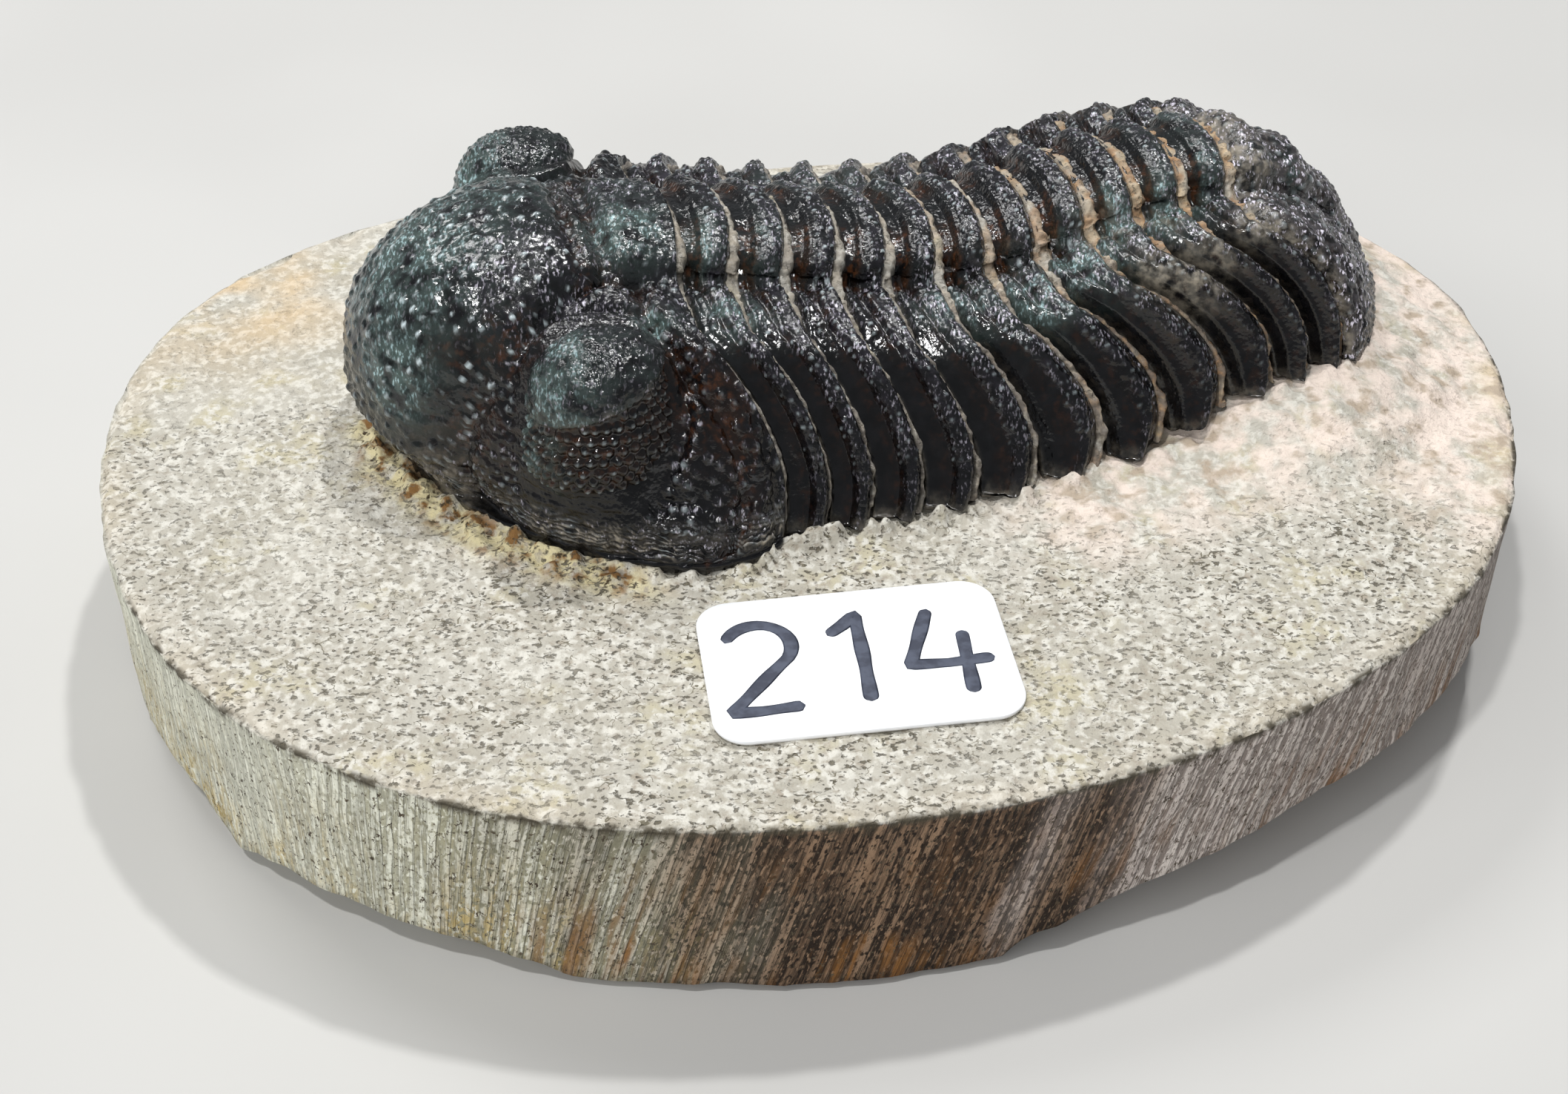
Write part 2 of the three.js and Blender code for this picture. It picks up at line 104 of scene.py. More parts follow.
# %% [markdown]
# Stone and shell are never even, so the relief needs random lumps. A texture in the shader would only tint
# them. Here the lumps move the mesh itself: a value is drawn for each corner of a cube lattice by a hash, and
# blended inside each cube. The same place always gets the same value, so each run gives the same stone.

# %% Random lumps
POSITIVE_CELLS = 1000


def hashed(cell, seed):
    """A steady random number from 0 to 1 for each whole-numbered cell. The big odd numbers stir its bits."""
    x, y, z = (cell[..., k].astype(np.uint32) for k in range(3))
    h = (x * np.uint32(73856093)) ^ (y * np.uint32(19349663)) ^ (z * np.uint32(83492791))
    h = h ^ np.uint32(seed * 2654435761 % 2**32)
    h = (h ^ (h >> np.uint32(15))) * np.uint32(2246822519)
    h = (h ^ (h >> np.uint32(13))) * np.uint32(3266489917)
    return (h ^ (h >> np.uint32(16))) / 2**32


def lumps(points, size, seed, layers=1):
    """Smooth random heights, about -1 to 1, whose lumps are size mm across."""
    total = np.zeros(points.shape[:-1])
    for layer in range(layers):
        place = points / size * 2**layer + POSITIVE_CELLS
        cell = np.floor(place).astype(np.int64)
        part = place - cell
        part = part * part * (3 - 2 * part)
        for corner in itertools.product((0, 1), repeat=3):
            weight = np.prod(np.where(corner, part, 1 - part), axis=-1)
            total += weight * (2 * hashed(cell + np.array(corner), seed + layer) - 1) / 2**layer
    return total


# %% [markdown]
# The body is described along three directions: `u` runs along it to the tail, `v` across it, and z is the
# height over the slab's top face. The thorax is counted in seams, 0 behind the head to 11 before the tail.

# %% The body's measures
SEGMENTS = 11
FIRST_SEAM_AT = 6.3
SEGMENT_PITCH = 3.48
SEAM_GAP = 0.3
# A seam bows over the axis. How far it leans changes along the thorax, most at one seam.
RING_BOW, RING_LEAN, RING_LEAN_SEAM = 0.8, 0.6, 2.7
# From the crest outwards: the axis, a furrow, the inner pleura to its fulcrum, and the steep outer pleura.
AXIS_SHARE = 0.36
FURROW_DROP = 2.0
FULCRUM_SHARE, FULCRUM_DROP_SHARE, FULCRUM_ROUNDING = 0.41, 0.215, 1.4
SHOULDER_SLOPE = 0.25
# The pleurae sweep back between two shares of their length. The tips of the first ones roll forward again.
SWEEP_SPAN = (0.34, 0.93)
TIP_ROLL, TIP_ROLL_ENDS = 0.8, (6, 9)
# The mound under the tail rises and falls between places along the body.
MOUND_HEIGHT, MOUND_RISE_SPAN = 2.3, (34, 44)
MOUND_FALL_SHARE, MOUND_FALL_SPAN = 0.55, (50, 58)
EDGE_THICKNESS = 0.6


def along_thorax(values):
    """A smooth curve through values at equal steps from the first seam to the last."""
    knots = np.array(values, float)
    last = len(knots) - 1

    def at(seam):
        place = np.clip(np.asarray(seam, float) / SEGMENTS, 0, 1) * last
        i = np.minimum(place.astype(int), last - 1)
        t = place - i
        before, start, end, after = (knots[np.clip(i + k, 0, last)] for k in (-1, 0, 1, 2))
        leave, arrive = (end - before) / 2, (after - start) / 2
        cubic = (2 * start - 2 * end + leave + arrive) * t**3
        return cubic + (3 * end - 3 * start - 2 * leave - arrive) * t**2 + leave * t + start

    return at


crest_height = along_thorax([14.5, 12.9, 11.5, 11.8, 13.6, 14.0])
axis_half_width = along_thorax([5.9, 5.9, 5.9, 5.8, 5.5, 4.8])
body_half_width = along_thorax([18.8, 18.8, 18.6, 17.0, 15.4, 13.8])
backward_sweep = along_thorax([3.8, 2.5, 2.8, 5.4, 7.0, 5.9])


# %% The body's surface
def rest_level(along):
    """Where the plates' lower edges lie: on the slab, then up on the mound under the tail."""
    rise = MOUND_HEIGHT * smoothstep(along, *MOUND_RISE_SPAN)
    return SEAM_GAP + rise - MOUND_FALL_SHARE * MOUND_HEIGHT * smoothstep(along, *MOUND_FALL_SPAN)


def across_at(seam, share):
    """The distance across the body of a share of its width: the axis takes the inner share."""
    side = np.abs(share)
    axis = axis_half_width(seam)
    pleura = lerp(axis, body_half_width(seam), (side - AXIS_SHARE) / (1 - AXIS_SHARE))
    return np.sign(share) * np.where(side < AXIS_SHARE, axis * side / AXIS_SHARE, pleura)


def seam_along(seam, across):
    """How far along the body a seam runs at a distance across it."""
    side = np.abs(across)
    axis = axis_half_width(seam)
    furrow = FIRST_SEAM_AT + SEGMENT_PITCH * seam
    bow = RING_BOW + RING_LEAN * np.cos((seam - RING_LEAN_SEAM) * math.pi / 6)
    out = (side - axis) / (body_half_width(seam) - axis)
    roll = TIP_ROLL * (1 - smoothstep(seam, *TIP_ROLL_ENDS)) * np.maximum(0, (out - 0.85) / 0.15) ** 2
    sweep = backward_sweep(seam) * smoothstep(out, *SWEEP_SPAN) - roll
    return furrow + np.where(side < axis, bow * (1 - (side / axis) ** 2), sweep)


def section_height(seam, across):
    """The body's section: axial arch, furrow, level inner pleura, steep outer pleura."""
    side = np.abs(across)
    axis = axis_half_width(seam)
    reach = body_half_width(seam)
    fulcrum = lerp(axis, reach, FULCRUM_SHARE)
    furrow = crest_height(seam) - FURROW_DROP
    bend = crest_height(seam) - FULCRUM_DROP_SHARE * fulcrum
    arch = furrow + FURROW_DROP * np.maximum(0, 1 - (side / axis) ** 2.2) ** 0.6
    inner = lerp(furrow, bend, (side - axis) / (fulcrum - axis))
    t = np.clip((side - fulcrum) / (reach - fulcrum), -0.3, 1)
    shoulder = bend - SHOULDER_SLOPE * (reach - fulcrum)
    tip = rest_level(seam_along(seam, reach))
    outer = (1 - t) ** 2 * bend + 2 * t * (1 - t) * shoulder + t * t * tip
    pleura = soft_min(inner, outer, FULCRUM_ROUNDING)
    return np.where(side < axis, arch, np.where(side < fulcrum + 4, pleura, outer))


def body_point(seam, share):
    across = across_at(seam, share)
    return np.stack([seam_along(seam, across), across, section_height(seam, across)], axis=-1)


def on_slab(points):
    """Turns and moves body points to their place on the slab, in the row frame's millimetres."""
    cos, sin = math.cos(FOSSIL_TURN), math.sin(FOSSIL_TURN)
    u, v, z = points[..., 0], points[..., 1], points[..., 2]
    x = FOSSIL_AT[0] + u * cos - v * sin
    y = FOSSIL_AT[1] + u * sin + v * cos
    return np.stack([x, y, SLAB_HEIGHT + z], axis=-1)


def on_body(x, y):
    """The way back: how far along and across the body a place on the slab is."""
    cos, sin = math.cos(FOSSIL_TURN), math.sin(FOSSIL_TURN)
    dx, dy = x - FOSSIL_AT[0], y - FOSSIL_AT[1]
    return dx * cos + dy * sin, dy * cos - dx * sin


print("crest over the slab, mm:", crest_height(np.arange(12)).round(1))


# %% [markdown]
# Every plate is drawn as a grid of points, columns across the body and rows from front to rear. Rows bunch up
# on steep walls when they are spaced evenly from above, so `respaced` moves them to equal steps along the
# surface. That keeps the faces square enough to carry half-millimetre grains anywhere.

# %% Grids of points
def respaced(lines, count):
    """Each line of points (lines, places, 3) again, with count places at equal steps along it."""
    steps = np.linalg.norm(np.diff(lines, axis=1), axis=-1)
    run = np.concatenate([np.zeros((len(lines), 1)), np.cumsum(steps + 1e-6, axis=1)], axis=1)
    even = np.empty((len(lines), count, lines.shape[-1]))
    for i, line in enumerate(lines):
        wanted = np.linspace(0, run[i, -1], count)
        for k in range(lines.shape[-1]):
            even[i, :, k] = np.interp(wanted, run[i], line[:, k])
    return even


def normals(grid):
    """Outward directions of a grid whose columns run across (+v) and whose rows run back (+u)."""
    across = np.gradient(grid, axis=0)
    along = np.gradient(grid, axis=1)
    normal = np.cross(along, across)
    return normal / np.maximum(np.linalg.norm(normal, axis=-1, keepdims=True), 1e-9)


def closed_columns(grid, foot):
    """Adds to each column its two feet, at the foot height, so that the columns close into a solid."""
    rear, front = grid[:, -1:].copy(), grid[:, :1].copy()
    for edge in (rear, front):
        edge[..., 2] = np.minimum(foot(edge[..., 0]), edge[..., 2])
    return np.concatenate([grid, rear, front], axis=1)


def tube_faces(columns, count):
    """Faces of closed columns joined side by side, with a face over each end."""
    start = np.arange(columns - 1)[:, None] * count
    here = np.arange(count)
    after = (here + 1) % count
    quads = np.stack([start + here, start + after, start + count + after, start + count + here], axis=-1)
    ends = [list(range(count))[::-1], [(columns - 1) * count + j for j in range(count)]]
    return quads.reshape(-1, 4).tolist() + ends


# %% [markdown]
# A material can't know where a furrow or a ridge is, so each mesh carries a few named values for its points,
# such as `furrow` or the wear mask. The shader reads them with an Attribute node. They come from the same
# formulas as the shape, so brown stays down in the furrow, and pale wear and painted glints stay up on the
# ridge.

# %% Make a piece
def make_piece(name, rings, material, masks, replaced=()):
    """A smooth closed mesh of rings of points, in the row frame's millimetres, that rides on the slab."""
    mesh = bpy.data.meshes.new(name)
    mesh.from_pydata((rings.reshape(-1, 3) * MM).tolist(), [], tube_faces(*rings.shape[:2]))
    mesh.shade_smooth()
    for mask, values in masks.items():
        layer = mesh.attributes.new(mask, "FLOAT", "POINT")
        layer.data.foreach_set("value", np.ravel(values).astype(np.float32))
    piece = bpy.data.objects.new(name, mesh)
    bpy.context.collection.objects.link(piece)
    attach(piece, "root")
    if replaced:
        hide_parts(*replaced)
    mesh.materials.append(material)
    triangles = sum(len(face.vertices) - 2 for face in mesh.polygons)
    print(f"{name}: {triangles} triangles")


# %% [markdown]
# The shell is set with small knobs, called tubercles on the glabella and granules elsewhere. On the animal
# they never touch, and never line up. `scatter` throws darts at the mesh's own points and keeps those that
# land far enough from the others. `knobs` then lifts the points round each one into a low dome.

# %% Knobs on the shell
def scatter(points, allowed, spacing, seed, tries):
    """Places at least spacing apart, drawn in a steady random order from the allowed points."""
    rng = np.random.default_rng(seed)
    candidates = rng.permutation(np.flatnonzero(np.ravel(allowed)))[:tries]
    flat = points.reshape(-1, 3)
    taken = {}
    chosen = []
    for i in candidates.tolist():
        place = flat[i]
        key = tuple((place // spacing).astype(int))
        around = itertools.product(*(range(k - 1, k + 2) for k in key))
        near = [other for cell in around for other in taken.get(cell, ())]
        if near and min(np.sum((np.array(near) - place) ** 2, axis=1)) < spacing**2:
            continue
        taken.setdefault(key, []).append(place)
        chosen.append(i)
    return np.array(chosen, int)


def knobs(points, places, radius, height):
    """How far each point is lifted by domes at the places. Radius and height can be one value per place."""
    flat = points.reshape(-1, 3)
    tree = KDTree(len(flat))
    for i, place in enumerate(flat):
        tree.insert(place, i)
    tree.balance()
    lift = np.zeros(len(flat))
    radii = np.broadcast_to(radius, len(places))
    heights = np.broadcast_to(height, len(places))
    for place, r, h in zip(places, radii, heights):
        found = tree.find_range(Vector(place), r)
        index = np.fromiter((item[1] for item in found), int, len(found))
        away = np.fromiter((item[2] for item in found), float, len(found))
        lift[index] = np.maximum(lift[index], h * (1 - (away / r) ** 2))
    return lift.reshape(points.shape[:-1])


def granulated(grid, allowed, spacing, seed, radius, height, tries=6000):
    """A grid with granules of mixed sizes, and the lift that they gave."""
    rng = np.random.default_rng(seed + 1)
    chosen = scatter(grid, allowed, spacing, seed, tries)
    size = rng.uniform(0.7, 1.25, len(chosen))
    lift = knobs(grid, grid.reshape(-1, 3)[chosen], radius * size, height * size)
    return grid + normals(grid) * lift[..., None], lift


# %% [markdown]
# The camera stands where the photograph's did: 39 degrees down on the slab, from about 15 cm away, with a
# lens of about 49 mm on a 36 mm sensor. It comes first, so that every later look is from the same place.

# %% Camera
CAMERA_AT = (-2.1, -116.3, 97.5)
CAMERA_DOWN = 39
camera_data = bpy.data.cameras.new("camera")
camera_data.lens = 49.34
camera_data.sensor_width = 36
camera = bpy.data.objects.new("camera", camera_data)
camera.location = [c * MM for c in CAMERA_AT]
camera.rotation_euler = (math.radians(90 - CAMERA_DOWN), 0, 0)
camera_data.clip_start = 0.01
bpy.context.collection.objects.link(camera)
bpy.context.scene.camera = camera
print("camera at", [round(c, 4) for c in camera.location])


# %% [markdown]
# Colours are written as the hex values that a paint program shows. Blender's shader works in linear light,
# so one function turns them. One more adds a node to a material, with its settings and its links.

# %% Colours and nodes
def colour(hex_value):
    """An sRGB hex colour as linear red, green, blue and alpha."""
    srgb = [int(hex_value[i : i + 2], 16) / 255 for i in (1, 3, 5)]
    linear = [c / 12.92 if c <= 0.04045 else ((c + 0.055) / 1.055) ** 2.4 for c in srgb]
    return (*linear, 1)


def add(material, kind, links=None, **settings):
    """Adds a node. Links go by input number, and settings by property name, or in00 for an input's value."""
    made = material.node_tree.nodes.new("ShaderNode" + kind)
    for key, value in settings.items():
        if key.startswith("in") and key[2:].isdigit():
            made.inputs[int(key[2:])].default_value = value
        else:
            setattr(made, key, value)
    for number, source in (links or {}).items():
        material.node_tree.links.new(source, made.inputs[number])
    return made


def new_material(name):
    material = bpy.data.materials.new(name)
    material.use_nodes = True
    material.node_tree.nodes.clear()
    return material


# %% [markdown]
# A few small recipes recur in every finish. `blotches` is a noise of a real size in millimetres, and `mottle`
# turns it into a mask between two thresholds. `all_of` multiplies masks, so that a colour shows only where
# they agree. `layered` lays colours over each other, each through its own masks, as a painter glazes.

# %% Recipes for masks
def millimetres(material):
    """The place on the piece, in millimetres."""
    place = add(material, "TexCoord").outputs["Object"]
    return add(material, "VectorMath", {0: place}, operation="SCALE", in03=1 / MM).outputs[0]


def blotches(material, place, size, detail, stretch=(1, 1, 1)):
    """An uneven value whose blotches are about size mm across."""
    scaled = add(material, "VectorMath", {0: place}, operation="MULTIPLY", in01=stretch).outputs[0]
    return add(material, "TexNoise", {0: scaled}, in02=1 / size, in03=detail).outputs[0]


def mottle(material, place, size, low, high, detail=2.0, stretch=(1, 1, 1)):
    """A mask from 0 to 1 of blotches about size mm across."""
    value = blotches(material, place, size, detail, stretch)
    steps = {"in01": low, "in02": high, "interpolation_type": "SMOOTHSTEP"}
    return add(material, "MapRange", {0: value}, **steps).outputs[0]


# %% Recipes for layers
def all_of(material, *masks):
    """The product of masks. Each is the name of a value on the mesh, or another node's output."""
    product = None
    for mask in masks:
        if isinstance(mask, str):
            mask = add(material, "Attribute", attribute_name=mask).outputs["Fac"]
        if product is not None:
            mask = add(material, "Math", {0: product, 1: mask}, operation="MULTIPLY").outputs[0]
        product = mask
    return product


def layered(material, base, *layers):
    """Lays (colour, mask, mask...) layers over a base. A colour is a hex value or another node's output."""
    for over, *masks in layers:
        links = {0: all_of(material, *masks)}
        settings = {}
        for socket, value in ((6, base), (7, over)):
            if isinstance(value, str):
                settings[f"in{socket:02d}"] = colour(value)
            else:
                links[socket] = value
        base = add(material, "Mix", links, data_type="RGBA", **settings).outputs[2]
    return base


# %% [markdown]
# The shell of this trilobite was replaced by calcite, dark with fine carbon, and the powder jet left it half
# polished: a glossy black stone, index about 1.5. It isn't one black. The eye sees blue-green films where
# the shell splits light, lilac-grey grains where ridges were worn, and brown where thin shell lies over
# iron-stained rock in the furrows. The lilac-grey is partly painted glints, and the pale tips of the knobs
# and the bright crumbs of film are painted highlights. One painted picture could hold all that, but would
# blur close up. So each of them is a layer over the black, that shows where a value on the mesh and a noise
# agree.

# %% Black calcite shell
# The jet's powder is about 0.05 mm, and so are the nicks it left. Their pale lilac is partly their own colour
# and partly painted glints, and the bright crumbs of film between them are painted glints. Calcite grains are
# about 0.1 mm. All of them are drawn two to five times coarser, so that they show.
NICK_AND_GLINT, FILM_GLINT, CALCITE_GRAIN, PORE = 0.24, 0.26, 0.28, 0.4
ALONG_THE_PLATES = (1.5, 0.6, 0.7)


def calcite_colour(m, place, dust):
    film = add(m, "MapRange", {0: all_of(m, "sheen")}, in01=0.3, in02=1.1).outputs[0]
    film_glints = mottle(m, place, FILM_GLINT, 0.5, 0.7, 4, ALONG_THE_PLATES)
    film_glints = all_of(m, mottle(m, place, 1.3, 0.4, 0.56, 3), film_glints)
    nicks_and_glints = mottle(m, place, NICK_AND_GLINT, 0.53, 0.7, 4, ALONG_THE_PLATES)
    nicks_and_glints = all_of(m, mottle(m, place, 1.1, 0.42, 0.58, 3), nicks_and_glints)
    return layered(
        m,
        "#030304",
        ("#0e0e10", mottle(m, place, 0.9, 0.35, 0.7, 4)),
        # Brown, where thin shell lies over stained rock.
        ("#1a0f09", "furrow", mottle(m, place, 1.4, 0.38, 0.62, 4)),
        ("#3c2212", "furrow", mottle(m, place, 0.5, 0.46, 0.74, 5)),
        # The blue-green film, and painted glints of light on it where it is thickest.
        ("#465450", "sheen", mottle(m, place, 1.3, 0.3, 0.62, 5)),
        ("#b2cfd2", film, film_glints),
        # Worn ridges: grey stone and lilac nicks, both partly painted sheen and glints of light.
        ("#2a272f", "worn", mottle(m, place, 0.8, 0.4, 0.72, 5)),
        ("#d8d2e0", "worn", nicks_and_glints),
        # Painted highlights on the tips of the knobs, lenses and ridges.
        ("#bcc8cb", "tips", mottle(m, place, 1.2, 0.36, 0.62, 4)),
        # Rock dust left in the corners.
        (layered(m, "#6f6a60", ("#978f80", mottle(m, place, 0.5, 0.4, 0.6, 4))), dust),
    )


def calcite_material():
    m = new_material("air-abraded black calcite")
    place = millimetres(m)
    dust = all_of(m, "dust", mottle(m, place, 0.8, 0.34, 0.66, 6))
    gloss = add(m, "MapRange", {0: all_of(m, "worn")}, in03=0.13, in04=0.26).outputs[0]
    roughness = add(m, "Math", {0: gloss, 1: dust}, operation="MAXIMUM").outputs[0]
    grains = add(m, "TexVoronoi", {0: place}, in02=1 / CALCITE_GRAIN).outputs[0]
    pores = blotches(m, place, PORE, 6.0)
    height = add(m, "Math", {0: grains, 2: pores}, operation="MULTIPLY_ADD", in01=-0.5).outputs[0]
    strength = add(m, "MapRange", {0: all_of(m, "polished")}, in03=0.6, in04=0.15).outputs[0]
    relief = add(m, "Bump", {0: strength, 3: height}, in01=0.12 * MM).outputs[0]
    shell = add(m, "BsdfPrincipled", {0: calcite_colour(m, place, dust), 2: roughness, 5: relief})
    shell.inputs["IOR"].default_value = 1.52
    add(m, "OutputMaterial", {0: shell.outputs[0]})
    return m


calcite = calcite_material()
print(calcite.name, len(calcite.node_tree.nodes), "nodes")


# %% [markdown]
# The rock is a fine-grained limestone. The powder jet roughened its top face and left short pits, whose dark
# is painted shade, iron stained it yellow and brown along the head, and the saw cut its side in fine slanted
# lines through beds of three tones. Two materials would part in a hard line at the rim, so one holds both
# finishes. The value `wall` tells the sawn side from the top, and `around` is the way round it in mm, which
# saw lines follow.

# %% Limestone blasted by the powder jet
# Real grains, and the pits that the jet left between them, are about 0.1 mm. They are drawn at about half a
# millimetre, so that they show.
STONE_GRAIN, PIT, CRACK_SPACING = 0.55, 0.42, 1.1


def broken_lines(material, place, size, width, stretch=(1, 1, 1)):
    """Thin winding dark ticks: where a noise crosses its middle value, kept only in places."""
    value = blotches(material, place, size, 2.0, stretch)
    line = add(material, "Math", {0: value}, operation="COMPARE", in01=0.5, in02=width).outputs[0]
    return all_of(material, line, mottle(material, place, 0.8 * size, 0.5, 0.58, 2))


def blasted_face(m, place, grains):
    """The colour of the blasted rock, and the mask of its dark pits."""
    dense = add(m, "MapRange", {0: mottle(m, place, 9, 0.36, 0.62, 3)}, in03=0.6, in04=1.1).outputs[0]
    pitted = all_of(m, "pitted", dense)
    # The pits' dark colour is painted shade in the holes that the bump carves.
    pits = all_of(m, pitted, mottle(m, place, PIT, 0.57, 0.68, 4, (1, 1.4, 1)))
    steps = {"in01": 0.5, "in02": 0.3, "interpolation_type": "SMOOTHSTEP"}
    hollow_shade = add(m, "MapRange", {0: grains}, **steps).outputs[0]
    face = layered(
        m,
        "#aaa598",
        ("#b5b1a6", mottle(m, place, 7, 0.38, 0.62, 4)),
        ("#b6af97", mottle(m, place, 4, 0.52, 0.7, 4)),
        ("#cfccc2", mottle(m, place, 0.6, 0.44, 0.64, 4)),
        ("#d3b485", "warm", mottle(m, place, 6, 0.3, 0.6)),
        # Fresh broken rock beside the rear plates: pink, with brown-grey blotches of painted shade.
        ("#decfc3", "pink", mottle(m, place, 2.5, 0.35, 0.6, 4)),
        ("#ac9d8b", "pink", mottle(m, place, 1.6, 0.52, 0.68, 5)),
        # Iron stain along the head: yellow, brown, then small black spots.
        ("#cdc29a", "stain", mottle(m, place, 1.4, 0.3, 0.56, 5)),
        ("#7d5c35", "stain", mottle(m, place, 1.1, 0.46, 0.64, 5)),
        ("#3f3320", "stain", mottle(m, place, 0.5, 0.58, 0.68, 4)),
        # Rock in the seams: orange at the rear, and grey, with painted shade where it lies deep between the
        # plates.
        ("#a97947", "orange", mottle(m, place, 1.5, 0.4, 0.6, 3)),
        ("#6c6660", "dim", mottle(m, place, 0.5, 0.2, 0.6, 3)),
        # Painted shade in the hollows between grains and in the pits, then dark hair cracks.
        ("#9d9486", pitted, hollow_shade),
        ("#696355", pits),
        ("#6f6959", pitted, broken_lines(m, place, CRACK_SPACING, 0.014, (1, 1.3, 1))),
    )
    return face, pits


# %% Limestone cut by the saw
# The saw's lines are about 0.1 mm apart and the grains it tore out as small. Both are drawn at 0.25 to
# 0.3 mm, so that they show.
SAW_LINE, PALE_GRAIN, DARK_GRAIN = 0.3, 0.24, 0.26
# The three beds from left to right, and how far their borders wander. The right bed's tones are pinker
# stone, painted lighter as painted light against the shade that the lights from the left leave on that side.
BED_STONE = ("#cecebf", "#533f2f", "#c6bab3")
BED_PALE = ("#dcdccc", "#8b715a", "#d6ccc4")
BED_DARK = ("#98957e", "#251a11", "#877c75")
BED_BORDERS = ((-10.0, 12.0), (22.0, 34.0))
BED_DRIFT = 24.0


def sawn_wall(m, place):
    """The colour of the sawn wall, and the mask of its saw lines."""
    apart = add(m, "SeparateXYZ", {0: place})
    x, z = apart.outputs[0], apart.outputs[2]
    lined = add(m, "CombineXYZ", {0: all_of(m, "around"), 1: z}).outputs[0]
    drift = mottle(m, lined, 5, 0.0, 1.0, 4, (1, 0.2, 1))
    shifted = add(m, "Math", {0: drift, 2: x}, operation="MULTIPLY_ADD", in01=BED_DRIFT).outputs[0]
    beds = []
    for start, end in BED_BORDERS:
        steps = {"in01": start, "in02": end, "interpolation_type": "SMOOTHSTEP"}
        beds.append(add(m, "MapRange", {0: shifted}, **steps).outputs[0])
    stone, pale, dark = (
        layered(m, left, (middle, beds[0]), (right, beds[1]))
        for left, middle, right in (BED_STONE, BED_PALE, BED_DARK)
    )
    saw = mottle(m, lined, SAW_LINE, 0.42, 0.6, 4, (1, 0.04, 1))
    streaked = add(m, "MapRange", {0: x}, in01=-34.0, in02=-20.0, in03=0.25).outputs[0]
    low = add(m, "MapRange", {0: z}, in01=12.0, in02=3.0).outputs[0]
    on_left = add(m, "MapRange", {0: x}, in01=-4.0, in02=-20.0).outputs[0]
    past_left = add(m, "MapRange", {0: x}, in01=-24.0, in02=-10.0).outputs[0]
    ochre = all_of(m, low, on_left, mottle(m, lined, 5, 0.3, 0.6, 4, (1, 0.3, 1)))
    rust = all_of(m, low, past_left, mottle(m, lined, 0.9, 0.44, 0.64, 4, (1, 0.1, 1)))
    wall = layered(
        m,
        stone,
        (pale, mottle(m, lined, 2.2, 0.38, 0.64, 4, (1, 0.1, 1))),
        (dark, streaked, saw),
        ("#b7a26b", ochre, mottle(m, lined, 0.5, 0.34, 0.66, 4, (1, 0.2, 1))),
        # Torn grains, pale and dark.
        (pale, mottle(m, lined, PALE_GRAIN, 0.53, 0.64, 4, (1, 0.4, 1))),
        (dark, streaked, mottle(m, lined, DARK_GRAIN, 0.52, 0.62, 4, (1, 0.5, 1))),
        ("#83592c", rust, mottle(m, lined, 10, 0.4, 0.54, 2)),
        # Pores and winding cracks.
        ("#5b503f", mottle(m, lined, SAW_LINE, 0.6, 0.7, 4, (1, 0.8, 1))),
        ("#4a4033", broken_lines(m, lined, 0.8, 0.012, (1.6, 0.7, 1))),
    )
    return wall, saw


# %% Limestone
def limestone_material():
    m = new_material("air-abraded and sawn limestone")
    place = millimetres(m)
    grains = add(m, "TexNoise", {0: place}, in02=1 / STONE_GRAIN, in03=6.0, in04=0.6).outputs[0]
    face, pits = blasted_face(m, place, grains)
    wall, saw = sawn_wall(m, place)
    base = layered(m, face, (wall, "wall"), ("#4b4436", "edge", mottle(m, place, 1.1, 0.44, 0.56, 6)))
    carved = add(m, "Math", {0: all_of(m, saw, "wall"), 1: pits}, operation="ADD").outputs[0]
    height = add(m, "Math", {0: grains, 1: carved}, operation="SUBTRACT").outputs[0]
    relief = add(m, "Bump", {3: height}, in00=0.8, in01=0.28 * MM).outputs[0]
    rock = add(m, "BsdfPrincipled", {0: base, 5: relief}, in02=0.92)
    rock.inputs["IOR"].default_value = 1.5
    add(m, "OutputMaterial", {0: rock.outputs[0]})
    return m


limestone = limestone_material()
print(limestone.name, len(limestone.node_tree.nodes), "nodes")


# %% [markdown]
# The head shield is one plate. Its middle, the glabella, is a blown-up dome that hangs out over the front.
# The cheeks fall away on both sides to a smooth rounded border. A height for each place from above can't
# draw a wall that leans outward, so each column starts with an apron of points up the overhanging front.

# %% Head measures
HEAD_HALF_WIDTH, HEAD_WIDEST_AT, HEAD_FORWARD, HEAD_ROUNDNESS = 20.2, 5, 17.5, 1.6
HEAD_OVERHANG = 2.0
GENAL_CORNER = 4.3
CHEEK_RISE, CHEEK_ROUNDNESS, CHEEK_TOP = 20.5, (0.85, 0.45), 12.9
BORDER_HEIGHT = 1.5
GLABELLA_WIDEST_AT, GLABELLA_HALF_WIDTH, GLABELLA_FRONT = -5.5, 9.7, -14.5
GLABELLA_HEIGHT, GLABELLA_CREST_AT, GLABELLA_BACK_SLOPE = 15.7, -2, 0.16
GLABELLA_BLUNTNESS, GLABELLA_DOME = 2.8, (2.45, 0.43)
NOSE_HEIGHT = 4.5
# Furrows: behind the glabella, before the last ring, and before the cheeks' rear edge.
BASAL_FURROW_AT, OCCIPITAL_FURROW_AT, BORDER_FURROW_BEFORE_REAR = 0.2, 1.8, 2.6
EYE_AT = (-0.7, 13.0)
EYE_HALF_SIZE = (4.7, 4.3)
EYE_TOP = 13.6


def head_margin(across):
    x = np.abs(across) / HEAD_HALF_WIDTH
    curve = np.maximum(0, 1 - x**HEAD_ROUNDNESS) ** (1 / HEAD_ROUNDNESS)
    return HEAD_WIDEST_AT - HEAD_FORWARD * curve


